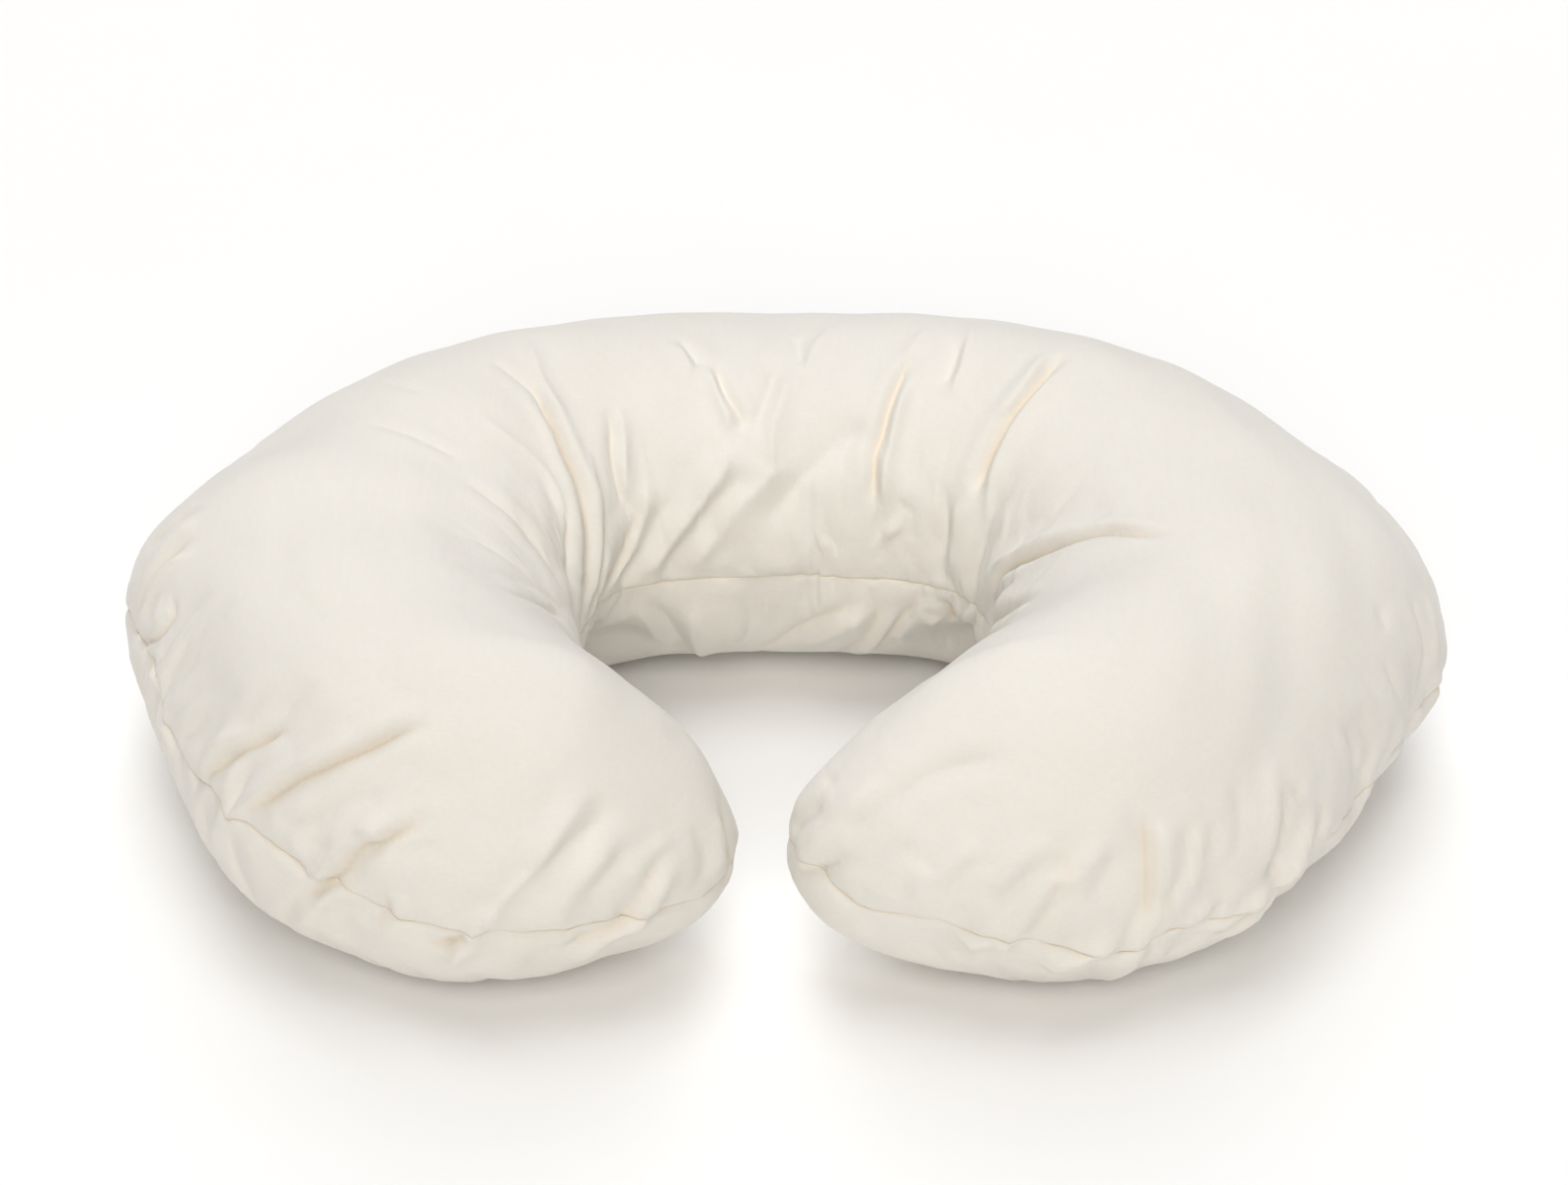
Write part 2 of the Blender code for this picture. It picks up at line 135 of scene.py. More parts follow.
# The closed rim runs from the middle of the back, round the right tip, along the cut-out,
# round the left tip, and back. Each column climbs from the rim to the spine of the C.
parts_of_rim = {s: half_rim(s) for s in (1, -1)}
rim, mid, crown, zone = [], [], [], []
for s in (1, -1):
    out, tip, inn = parts_of_rim[s]
    spine = 0.5 * (out + inn)[:, :2]
    spine[0, 0] = 0.0
    k = np.arange(len(out)) / (len(out) * 0.55)
    f = np.clip(k, 0, 1)
    f = f * f * (3 - 2 * f)
    cr = BACK_H + (ARM_H - BACK_H) * f
    r = np.vstack([out, tip, inn[::-1]])
    m = np.vstack([spine, np.repeat(spine[-1:], len(tip), 0), spine[::-1]])
    c = np.concatenate([cr, np.full(len(tip), cr[-1]), cr[::-1]])
    if s == 1:
        rim.append(r); mid.append(m); crown.append(c)
    else:
        rim.append(r[::-1][1:-1]); mid.append(m[::-1][1:-1]); crown.append(c[::-1][1:-1])
rim, mid, crown = np.vstack(rim), np.vstack(mid), np.concatenate(crown)
NC = len(rim)
run = np.concatenate([[0.0], np.cumsum(np.linalg.norm(np.diff(np.vstack([rim, rim[:1]]), axis=0), axis=1))])
PERIM, run = run[-1], run[:-1]
tangent = np.roll(rim, -1, 0) - np.roll(rim, 1, 0)
tangent /= np.linalg.norm(tangent, axis=1)[:, None]
outward = np.stack([-tangent[:, 1], tangent[:, 0]], 1)
outward /= np.linalg.norm(outward, axis=1)[:, None]
on_zip = (np.abs(np.degrees(np.arctan2(rim[:, 0], rim[:, 1] - ARC_Y))) < ZIP_DEG) & (rim[:, 1] > 0.1)

# ------------------------------------------------------------------ stuffed form
def section(side, count):
    w = np.cos(np.linspace(0.0, 1.0, count + 1) ** 1.12 * 0.5 * math.pi)
    w[-1] = 0.0
    g = np.zeros((NC, count + 1, 3))
    if side > 0:
        g[..., :2] = mid[:, None] + (rim[:, None, :2] - mid[:, None]) * w[None, :, None]
        g[..., 2] = rim[:, None, 2] + (crown[:, None] - rim[:, None, 2]) * (1 - w**2)[None, :] ** Q_TOP
    else:
        ww = REST + (1 - REST) * w
        ww[-1] = 0.0
        x = np.clip((ww - REST) / (1 - REST), 0, 1)
        g[..., :2] = mid[:, None] + (rim[:, None, :2] - mid[:, None]) * ww[None, :, None]
        g[..., 2] = rim[:, None, 2] * (1 - (1 - x**2)[None, :] ** Q_BASE)
    return g


# Where the seam has crept along the stuffed surface: distance along the rim from the middle
# of the back (right arm positive), and how far up it sits, both in mm.
CREEP = [(-1122, -2), (-1087, -3), (-1050, -4), (-1015, -3), (-950, 0), (-810, -7), (-790, -5), (-765, 0), (-732, 1),
         (-715, 0), (-696, 5), (-670, 2), (-641, 7), (-628, 12), (-622, 10), (-612, 14), (-576, 19.5), (-565, 15),
         (-540, 17), (-529, 12), (-507, 14), (-480, 17), (-471, 24), (-446, 24), (-430, 21), (-394, 11), (-350, 4),
         (-300, 0), (300, 0), (400, -3), (560, -7), (632, -12), (647, -9), (661, -10), (671, -15), (682, -9),
         (700, -7), (718, 0), (728, -1), (735, 3), (742, 0), (760, 5), (789, 5), (803, 7.5), (813, 10), (828, 12),
         (842, 8), (870, 3), (920, 0), (1030, 0), (1070, -4), (1111, -3), (1122, -2)]

fine_top, fine_base = section(1, 150), section(-1, 150)
whole = np.concatenate([fine_base[:, :0:-1], fine_top], 1)
along = np.concatenate([np.zeros((NC, 1)), np.cumsum(np.linalg.norm(np.diff(whole, axis=1), axis=2), 1)], 1)
along -= along[:, 150:151]
signed_run = np.where(run > 0.5 * PERIM, run - PERIM, run)
creep = np.interp(signed_run * 1000, [c[0] for c in CREEP], [c[1] for c in CREEP]) / 1000
creep = smooth(creep, 5, True)
phi = np.degrees(np.arctan2(rim[:, 0], rim[:, 1] - ARC_Y))
open_zip = np.clip((ZIP_DEG + 0.2 - np.abs(phi)) / 1.0, 0, 1) * (rim[:, 1] > 0.1)
open_zip = open_zip * open_zip * (3 - 2 * open_zip)
EDGE = 0.006                          # panel edges stand this far above and below the zip's middle

share = np.linspace(0.0, 1.0, ROWS + 1) ** 1.22
height = np.zeros((NC, 2 * ROWS + 2))  # distance along the surface from the unmoved rim; base rows first
form = np.zeros((NC, 2 * ROWS + 2, 3))
for i in range(NC):
    up = creep[i] + EDGE * open_zip[i]
    down = creep[i] - EDGE * open_zip[i]
    height[i, ROWS + 1:] = up + (along[i, -1] - up) * share
    height[i, :ROWS + 1] = (down + (along[i, 0] - down) * share)[::-1]
    for c in range(3):
        form[i, :, c] = np.interp(height[i], along[i], whole[i, :, c])
BASE_EDGE, TOP_EDGE = ROWS, ROWS + 1   # the two rows that meet at the seam


def normals(g, hold=None):
    du = np.roll(g, -1, 0) - np.roll(g, 1, 0)
    dv = np.zeros_like(g)
    dv[:, 1:-1] = g[:, 2:] - g[:, :-2]
    dv[:, BASE_EDGE] = g[:, TOP_EDGE + 1] - g[:, BASE_EDGE - 1]
    dv[:, TOP_EDGE] = dv[:, BASE_EDGE]
    n = np.cross(dv, du)
    n /= np.maximum(np.linalg.norm(n, axis=2), 1e-12)[..., None]
    n[:, -1] = (0, 0, 1)
    n[:, 0] = (0, 0, -1)
    return n


skin = normals(form)

# ------------------------------------------------------------------ folds
# One line each: height in mm (minus is a crease, plus is a ridge), width in mm, and the points
# it runs through, in mm.
FOLDS = [
    (-6.5, 2.6, [(-117, 77, 165), (-113, 65, 163), (-105, 48, 155), (-99, 34, 146), (-94, 23, 134), (-92, 13, 123), (-91, 3, 110), (-91, -9, 94), (-93, -20, 84)]),
    (1.6, 4.0, [(-121, 110, 163), (-114, 83, 165), (-107, 67, 162), (-99, 53, 155)]),
    (2.0, 4.0, [(-91, 47, 149), (-88, 32, 136), (-85, 18, 119), (-87, 4, 101), (-90, -10, 83)]),
    (-2.2, 2.0, [(-102, 17, 138), (-99, 3, 125), (-96, -14, 109), (-94, -25, 91)]),
    (-1.4, 3.0, [(-139, 90, 166), (-126, 77, 166), (-114, 65, 163), (-107, 52, 158)]),
    (1.1, 3.5, [(-147, 46, 166), (-129, 33, 160), (-112, 24, 150), (-102, 13, 136), (-98, -3, 118)]),
    (-1.2, 3.0, [(-195, 35, 167), (-182, 29, 168), (-166, 20, 167), (-145, 10, 162)]),
    (-0.9, 3.0, [(-188, 75, 162), (-178, 65, 166), (-166, 54, 168)]),
    (-2.0, 3.5, [(-150, -5, 162), (-141, -7, 158), (-131, -11, 151), (-117, -17, 140), (-106, -25, 125), (-98, -33, 106)]),
    (-1.2, 4.0, [(-114, 22, 150), (-106, 10, 138), (-101, -6, 123), (-95, -29, 97)]),
    (-2.2, 3.0, [(-122, -82, 152), (-109, -68, 134), (-100, -53, 114)]),
    (-1.0, 3.5, [(-147, -77, 163), (-135, -72, 157), (-123, -61, 145), (-109, -51, 128), (-97, -43, 105)]),
    (-0.8, 3.0, [(-154, -49, 161), (-137, -44, 153), (-117, -47, 137), (-98, -43, 107)]),
    (-2.4, 3.0, [(-81, 69, 156), (-79, 57, 150), (-79, 45, 141), (-76, 32, 127), (-74, 26, 117)]),
    (1.6, 3.2, [(-77, 71, 156), (-73, 54, 146), (-73, 39, 133), (-72, 30, 121)]),
    (-2.8, 3.5, [(-69, 30, 119), (-73, 22, 108), (-78, 14, 95), (-86, 2, 82)]),
    (2.2, 4.0, [(-61, 42, 131), (-66, 29, 114), (-73, 18, 96), (-83, 6, 81)]),
    (2.0, 3.5, [(-81, 18, 112), (-83, 9, 99), (-87, -1, 83), (-91, -13, 76)]),
    (-1.8, 3.0, [(-86, 27, 130), (-85, 15, 114), (-86, 3, 97), (-91, -10, 78)]),
    (-2.4, 5.0, [(-52, 38, 125), (-60, 28, 110), (-69, 20, 94), (-77, 13, 85)]),
    (3.4, 5.5, [(-71, 18, 82), (-64, 22, 85), (-51, 28, 104), (-39, 36, 118), (-30, 46, 130), (-23, 58, 141)]),
    (-3.0, 6.0, [(-60, 23, 82), (-42, 30, 106), (-28, 40, 122), (-18, 50, 133)]),
    (2.4, 8.0, [(-45, 25, 84), (-29, 30, 103), (-16, 39, 120), (-8, 47, 129), (4, 52, 135)]),
    (-3.6, 13.0, [(-10, 31, 103), (4, 41, 121), (20, 52, 135), (41, 65, 148)]),
    (-2.6, 2.4, [(-33, 102, 160), (-27, 82, 155), (-21, 69, 148), (-20, 60, 142)]),
    (1.8, 3.5, [(-36, 98, 160), (-30, 76, 153), (-24, 60, 142)]),
    (-1.8, 3.5, [(-49, 118, 162), (-43, 106, 161), (-38, 95, 159)]),
    (1.4, 3.2, [(-51, 114, 162), (-46, 100, 161), (-41, 86, 157)]),
    (1.8, 4.0, [(4, 94, 158), (1, 78, 152), (-6, 61, 142), (-8, 49, 131)]),
    (-2.0, 5.0, [(-1, 100, 159), (-8, 78, 152), (-16, 60, 142)]),
    (1.5, 4.0, [(25, 136, 159), (18, 115, 161), (10, 91, 157)]),
    (-1.5, 5.0, [(8, 125, 161), (9, 100, 159)]),
    (-4.2, 3.0, [(62, 104, 162), (58, 93, 160), (53, 79, 156), (49, 67, 149), (46, 54, 140), (45, 41, 126), (44, 34, 114)]),
    (2.4, 4.0, [(62, 89, 160), (57, 73, 154), (53, 59, 145), (51, 47, 134), (48, 32, 112)]),
    (1.2, 4.0, [(71, 126, 161), (60, 104, 162), (54, 90, 159)]),
    (2.2, 9.0, [(48, 30, 108), (53, 29, 104)]),
    (-1.1, 4.0, [(52, 35, 118), (61, 33, 116), (61, 27, 102)]),
    (1.5, 9.0, [(18, 29, 97), (25, 29, 99)]),
    (-0.7, 4.0, [(14, 28, 94), (21, 31, 103), (29, 28, 96)]),
    (-2.0, 5.0, [(85, 111, 164), (80, 91, 162), (75, 78, 158)]),
    (1.8, 4.0, [(93, 135, 158), (86, 89, 162), (77, 69, 155)]),
    (-4.6, 3.4, [(137, 93, 165), (129, 84, 166), (117, 68, 164), (108, 56, 158), (99, 44, 149), (93, 34, 138), (89, 27, 127)]),
    (1.6, 4.0, [(127, 97, 165), (116, 76, 165), (109, 64, 161), (99, 53, 153)]),
    (1.6, 5.0, [(138, 89, 166), (122, 64, 164), (109, 47, 155), (99, 30, 140), (91, 15, 116)]),
    (-2.4, 5.0, [(78, 37, 131), (76, 26, 114), (76, 19, 95), (74, 19, 82)]),
    (1.6, 5.0, [(84, 30, 127), (81, 21, 110), (78, 17, 86)]),
    (-1.8, 6.0, [(105, 22, 140), (98, 15, 127), (92, 9, 109), (88, 6, 91)]),
    (-0.8, 5.0, [(139, -3, 156), (124, -9, 146), (114, -12, 136)]),
    (-7.0, 2.8, [(175, -60, 167), (158, -51, 162), (144, -42, 156), (128, -35, 145), (112, -24, 129), (102, -16, 115), (95, -10, 98)]),
    (1.8, 5.0, [(144, -33, 156), (128, -25, 146), (110, -16, 129), (98, -6, 109)]),
    (-1.8, 2.5, [(109, -32, 124), (100, -22, 108), (96, -15, 95)]),
    (-2.4, 2.8, [(116, -70, 140), (106, -49, 118), (96, -22, 89)]),
    (-2.4, 3.2, [(-263, -4, 145), (-276, 3, 134), (-284, 4, 124), (-293, 10, 110)]),
    (1.8, 3.0, [(-264, -13, 143), (-274, -9, 134), (-284, -9, 121), (-293, -8, 104)]),
    (-3.4, 3.0, [(-264, -22, 140), (-276, -18, 128), (-285, -19, 115), (-293, -20, 98), (-298, -17, 85)]),
    (2.6, 3.4, [(-262, -29, 140), (-271, -28, 131), (-283, -25, 115), (-291, -24, 98), (-295, -26, 87)]),
    (-3.2, 1.8, [(-275, -37, 123), (-275, -48, 117), (-281, -48, 106), (-286, -43, 98), (-294, -28, 87)]),
    (1.4, 4.0, [(-280, -35, 115), (-283, -42, 106)]),
    (-1.6, 2.6, [(-263, -70, 122), (-269, -71, 111), (-277, -70, 94)]),
    (-1.4, 2.4, [(-259, -84, 119), (-268, -81, 105), (-275, -78, 91)]),
    (-1.2, 2.4, [(-255, -99, 114), (-265, -95, 99), (-272, -88, 86)]),
    (-1.4, 2.6, [(-252, -112, 108), (-261, -107, 94), (-267, -100, 83)]),
    (-1.2, 2.4, [(-273, -63, 111), (-278, -62, 100), (-283, -60, 89)]),
    (-4.2, 3.2, [(-209, -152, 129), (-223, -146, 119), (-237, -138, 105), (-250, -130, 88), (-256, -124, 77)]),
    (2.9, 4.0, [(-227, -141, 119), (-243, -129, 105), (-255, -120, 88), (-263, -112, 73)]),
    (-7.0, 3.2, [(-142, -173, 150), (-160, -173, 144), (-176, -173, 134), (-195, -170, 121), (-209, -166, 110), (-224, -160, 93), (-233, -154, 82)]),
    (3.1, 4.5, [(-176, -170, 137), (-194, -167, 126), (-213, -162, 110), (-231, -154, 90), (-241, -147, 77), (-248, -138, 56), (-249, -132, 46)]),
    (-1.9, 5.0, [(-186, -182, 107), (-201, -176, 98), (-215, -168, 90)]),
    (1.6, 4.0, [(-190, -178, 110), (-207, -170, 101), (-220, -164, 90)]),
    (-1.7, 5.0, [(-165, -186, 120), (-182, -182, 112), (-199, -175, 104)]),
    (-1.9, 5.0, [(-174, -189, 103), (-186, -186, 95), (-201, -180, 84)]),
    (1.6, 4.0, [(-167, -190, 109), (-188, -184, 98), (-206, -176, 87)]),
    (-8.0, 3.4, [(-148, -193, 118), (-166, -193, 103), (-178, -191, 92), (-188, -188, 78), (-198, -184, 68), (-206, -179, 58)]),
    (3.9, 5.0, [(-161, -191, 112), (-177, -190, 98), (-194, -185, 81), (-203, -181, 71)]),
    (-2.2, 5.0, [(-143, -198, 106), (-161, -196, 97), (-173, -193, 92)]),
    (-2.6, 3.0, [(-206, -179, 63), (-213, -170, 43), (-217, -158, 30)]),
    (2.6, 4.0, [(-189, -189, 73), (-198, -185, 61), (-207, -174, 41)]),
    (-3.2, 3.0, [(-168, -198, 75), (-169, -199, 68), (-175, -196, 56)]),
    (1.8, 4.0, [(-162, -200, 78), (-166, -200, 65)]),
    (5.6, 5.0, [(-75, -181, 123), (-85, -188, 120), (-93, -194, 112), (-102, -200, 100), (-107, -203, 92), (-118, -206, 80), (-128, -207, 67), (-137, -207, 56), (-146, -200, 36)]),
    (-3.1, 6.0, [(-70, -181, 118), (-79, -191, 109), (-91, -197, 103), (-101, -202, 94), (-112, -205, 83), (-124, -207, 70)]),
    (-2.2, 5.0, [(-105, -200, 103), (-116, -204, 89), (-128, -207, 75)]),
    (-6.5, 3.2, [(-134, -207, 63), (-141, -206, 56), (-147, -204, 50)]),
    (3.1, 5.0, [(-71, -191, 100), (-85, -200, 89), (-93, -204, 75), (-98, -206, 63)]),
    (-2.2, 6.0, [(-63, -186, 100), (-73, -196, 89), (-86, -203, 75)]),
    (2.3, 4.0, [(-49, -178, 94), (-57, -187, 86), (-60, -192, 78)]),
    (-3.0, 3.2, [(-49, -178, 94), (-56, -188, 83), (-62, -194, 70), (-67, -197, 60), (-80, -202, 54), (-99, -205, 48)]),
    (3.9, 4.5, [(-46, -180, 86), (-54, -189, 70), (-62, -194, 57), (-77, -200, 50), (-91, -197, 32)]),
    (-3.2, 2.6, [(-27, -153, 90), (-23, -157, 71), (-23, -157, 56), (-27, -162, 51)]),
    (2.1, 4.0, [(-29, -159, 90), (-27, -162, 76), (-29, -168, 61)]),
    (-1.7, 4.0, [(-40, -170, 95), (-35, -172, 78), (-38, -177, 62)]),
    (-3.6, 5.0, [(99, -182, 141), (83, -182, 136), (70, -181, 131), (57, -181, 123), (47, -182, 115), (35, -182, 103), (25, -180, 92)]),
    (4.4, 5.5, [(48, -178, 121), (33, -176, 109), (21, -175, 92), (11, -171, 74), (7, -165, 63)]),
    (-3.1, 4.5, [(21, -168, 101), (12, -164, 90), (6, -158, 77)]),
    (-3.4, 2.2, [(32, -186, 89), (24, -183, 81), (15, -177, 71), (8, -168, 62)]),
    (-2.2, 3.0, [(23, -161, 110), (18, -159, 104)]),
    (-2.2, 6.0, [(61, -194, 103), (46, -192, 94), (36, -191, 80)]),
    (2.3, 5.0, [(62, -197, 97), (49, -197, 83), (41, -195, 70)]),
    (-1.8, 5.0, [(68, -199, 97), (57, -198, 89), (51, -199, 75)]),
    (2.6, 5.0, [(84, -199, 109), (71, -201, 94), (62, -201, 83), (57, -201, 75)]),
    (-1.9, 5.0, [(89, -202, 103), (77, -203, 92), (68, -204, 78)]),
    (2.3, 5.0, [(115, -201, 109), (101, -204, 100), (92, -208, 86)]),
    (-2.2, 5.0, [(114, -204, 103), (103, -207, 92), (92, -209, 80)]),
    (4.2, 4.0, [(124, -204, 100), (117, -207, 92), (106, -210, 78), (98, -211, 61), (88, -209, 50)]),
    (-2.9, 4.0, [(124, -201, 109), (120, -205, 97), (113, -210, 78), (102, -211, 61)]),
    (3.1, 4.5, [(136, -200, 106), (127, -204, 97), (120, -208, 86)]),
    (-2.2, 6.0, [(143, -200, 103), (137, -205, 91), (130, -208, 78)]),
    (-4.2, 3.2, [(153, -191, 118), (155, -196, 103), (157, -201, 86), (157, -203, 72), (154, -204, 59)]),
    (2.6, 5.0, [(162, -190, 112), (162, -196, 94), (164, -200, 75)]),
    (-2.8, 3.0, [(168, -193, 97), (167, -198, 78), (164, -201, 59), (160, -200, 45), (155, -188, 22)]),
    (-2.2, 4.0, [(174, -186, 109), (174, -191, 95), (173, -195, 78)]),
    (2.3, 4.0, [(178, -185, 106), (178, -190, 89), (177, -194, 73)]),
    (-2.2, 4.0, [(183, -182, 106), (184, -188, 86)]),
    (-1.4, 5.0, [(193, -168, 118), (197, -174, 101), (196, -180, 81)]),
    (1.9, 5.0, [(210, -154, 116), (212, -160, 101), (212, -167, 81), (209, -173, 69)]),
    (-3.2, 3.0, [(215, -155, 104), (216, -162, 87), (214, -168, 71), (214, -168, 58)]),
    (-2.4, 4.0, [(220, -151, 101), (224, -151, 90)]),
    (4.4, 5.0, [(227, -149, 90), (226, -155, 71), (222, -160, 58), (209, -172, 55), (196, -180, 44)]),
    (-2.4, 4.0, [(234, -144, 79), (231, -150, 63), (226, -152, 48)]),
    (-9.0, 3.2, [(219, -163, 58), (211, -170, 53), (200, -175, 43), (190, -180, 36)]),
    (3.4, 4.0, [(186, -189, 68), (180, -193, 55), (176, -193, 47)]),
    (-1.1, 3.4, [(267, -75, 111), (274, -76, 94), (281, -72, 78)]),
    (-1.3, 3.4, [(249, -111, 102), (253, -113, 88), (259, -109, 68)]),
    (1.2, 4.0, [(256, -106, 94), (260, -107, 75)]),
    (-2.2, 4.0, [(282, -35, 120), (288, -40, 106), (292, -45, 92), (292, -52, 79)]),
    (2.2, 4.0, [(294, -20, 107), (297, -31, 93), (298, -40, 77)]),
    (-1.4, 5.0, [(267, -57, 128), (270, -65, 117)]),
    (3.1, 5.0, [(147, -206, 56), (130, -209, 51), (113, -206, 39)]),
    (-2.9, 3.5, [(147, -205, 47), (130, -206, 40), (110, -206, 37)]),
    (2.6, 6.0, [(87, -210, 58), (77, -208, 53)]),
    (-2.2, 4.0, [(91, -210, 54), (82, -207, 45), (73, -203, 42)]),
    (2.3, 7.0, [(37, -194, 56), (31, -190, 56)]),
    (-1.9, 4.0, [(37, -194, 65), (31, -191, 58), (25, -183, 46)]),
    (-3.0, 5.0, [(-64, 22, 75), (-56, 27, 62), (-50, 34, 46), (-45, 56, 17)]),
    (2.2, 6.0, [(-40, 27, 71), (-42, 34, 48), (-37, 60, 14)]),
    (2.0, 5.0, [(-70, 20, 72), (-64, 26, 57), (-60, 40, 33)]),
    (-1.5, 5.0, [(-22, 28, 73), (-16, 33, 55), (-19, 44, 33)]),
    (-2.4, 4.0, [(41, 27, 73), (21, 31, 60), (5, 38, 44), (-7, 53, 23)]),
    (2.0, 5.0, [(46, 28, 69), (27, 33, 53), (11, 45, 33)]),
    (-2.4, 4.0, [(52, 26, 73), (44, 31, 57), (36, 40, 37), (25, 62, 14)]),
    (1.6, 4.0, [(58, 26, 73), (50, 32, 53), (40, 46, 29)]),
    (-2.6, 4.0, [(64, 24, 75), (56, 29, 57), (45, 42, 33)]),
    (2.2, 4.0, [(70, 22, 76), (63, 27, 59), (55, 37, 39)]),
    (-4.0, 2.6, [(75, 19, 76), (77, 19, 68), (78, 21, 59)]),
    (3.0, 5.0, [(72, 23, 64), (71, 26, 55)]),
    (2.0, 4.0, [(85, 10, 79), (86, 12, 65)]),
    (-3.0, 3.0, [(90, 2, 78), (89, 8, 65)]),
]


def through(points, gap):
    p = np.array(points, float) / 1000
    q = np.vstack([2 * p[0] - p[1], p, 2 * p[-1] - p[-2]])
    out = []
    for k in range(1, len(q) - 2):
        n = max(2, int(np.linalg.norm(q[k + 1] - q[k]) / gap))
        t = np.arange(n)[:, None] / n
        out.append(0.5 * (2 * q[k] + (q[k + 1] - q[k - 1]) * t + (2 * q[k - 1] - 5 * q[k] + 4 * q[k + 1] - q[k + 2]) * t**2
                          + (3 * q[k] - q[k - 1] - 3 * q[k + 1] + q[k + 2]) * t**3))
    return np.vstack(out + [q[-2:-1]])


flat = form.reshape(-1, 3)
flat_n = skin.reshape(-1, 3)
lift = np.zeros(len(flat))
slide = np.zeros_like(flat)
# Painted shade: how strongly a warm, darker colour is painted into the cloth at each point. It stands in for the shade
# and warm bounce light inside narrow creases.
crease_shade = np.zeros(len(flat))


def add_fold(amount, width, points):
    line = through(points, 0.0018)
    amount, width = amount / 1000, width / 1000
    reach = 6.0 * width
    near = np.where(np.all((flat > line.min(0) - reach) & (flat < line.max(0) + reach), axis=1))[0]
    if not len(near):
        return
    best, which = np.full(len(near), 9.0), np.zeros(len(near), int)
    pts = flat[near]
    for k, p in enumerate(line):
        d = ((pts - p) ** 2).sum(1)
        hit = d < best
        best[hit], which[hit] = d[hit], k
    keep = best < (reach * 1.5) ** 2
    near, which, pts = near[keep], which[keep], pts[keep]
    anchor = np.array([flat_n[near[np.argmin(((pts - p) ** 2).sum(1))]] for p in line[::4]])
    agree = (anchor[which // 4] * flat_n[near]).sum(1)
    t = np.gradient(line, axis=0)
    t /= np.linalg.norm(t, axis=1)[:, None]
    off = pts - line[which]
    off -= t[which] * (off * t[which]).sum(1)[:, None]
    off -= flat_n[near] * (off * flat_n[near]).sum(1)[:, None]
    d = np.linalg.norm(off, axis=1)
    f = which / (len(line) - 1)
    end = np.clip(np.minimum(f / 0.28, (1 - f) / 0.18), 0, 1)
    end = end * end * (3 - 2 * end) * np.clip(agree * 2, 0, 1)
    if amount < 0:
        x = d / (0.74 * max(width, 0.0027))
        lift[near] += end * amount * (np.exp(-(np.sqrt(x * x + 0.20) - 0.45)) * 0.95 - 0.36 * np.exp(-((x - 2.8) / 1.6) ** 2))
        slide[near] -= off * (end * 0.40 * np.exp(-(x / 2.4) ** 2))[:, None]
        # narrow, deep creases get painted warm shade in the cloth's colour
        if width < 0.0041:
            crease_shade[near] = np.maximum(crease_shade[near], end * np.clip((-amount - 0.0016) / 0.0032, 0, 1) * np.exp(-(x / 0.60) ** 2))
    else:
        x = d / (0.80 * width)
        lift[near] += end * amount * 1.12 * (np.exp(-0.5 * x * x) * 0.35 + np.exp(-1.6 * (np.sqrt(x * x + 0.09) - 0.3)) * 0.65
                                             - 0.16 * np.exp(-((x - 2.6) / 1.1) ** 2))
        slide[near] -= off * (end * 0.25 * np.exp(-(x / 1.6) ** 2))[:, None]


for amount, width, points in FOLDS:
    add_fold(amount, width, points)


def soften(g):
    g = 0.7 * g + 0.15 * (np.roll(g, 1, 0) + np.roll(g, -1, 0))
    h = g.copy()
    h[:, 1:-1] = 0.7 * g[:, 1:-1] + 0.15 * (g[:, 2:] + g[:, :-2])
    return h


lift = soften(lift.reshape(NC, -1))
slide = soften(slide.reshape(form.shape))
crease_shade = soften(crease_shade.reshape(NC, -1))

# Gathers that start at the seam. Each is a short ridge or dip standing on the seam.
rng = np.random.default_rng(41)


def gather_strength(u):                # along the rim, in mm
    table = [(-1122, .5), (-1060, .8), (-1015, 1.3), (-960, .8), (-900, .35), (-830, .5), (-790, 1.0), (-700, .8),
             (-600, .9), (-520, 1.0), (-430, 1.3), (-380, 1.0), (-300, .6), (-200, .45), (0, .35), (200, .45),
             (300, .6), (400, .9), (480, .8), (600, .9), (700, 1.0), (800, 1.2), (860, .9), (920, .35), (980, .7),
             (1015, 1.2), (1060, .8), (1122, .5)]
    return np.interp(u, [t[0] for t in table], [t[1] for t in table])


rel = height - creep[:, None]
u_mm = signed_run * 1000
for k in range(560):
    u0 = rng.uniform(-1122, 1122)
    sigma = rng.uniform(2.2, 5.2)
    length = rng.uniform(0.010, 0.045)
    slant = rng.normal(0, 0.30)
    amp = rng.uniform(0.25, 0.85) * gather_strength(u0) * rng.choice([-1, -1, 1]) / 1000
    side = rng.choice([-1, 1])
    du = (u_mm - u0 + 1122) % 2244 - 1122
    cols = np.abs(du) < 3.2 * sigma + 20
    rows = slice(ROWS + 1, None) if side > 0 else slice(0, ROWS + 1)
    r = np.abs(rel[cols, rows])
    x = (du[cols, None] - slant * r * 1000) / (sigma * (1 + r / 0.05))
    rise = np.exp(-(r / length) ** 2) * np.clip((r + 0.0015) / 0.004, 0, 1)
    quiet = 1 - 0.8 * open_zip[cols, None] * np.exp(-(r / 0.02) ** 2)
    lift[cols, rows] += amp * np.exp(-x**2) * rise * quiet

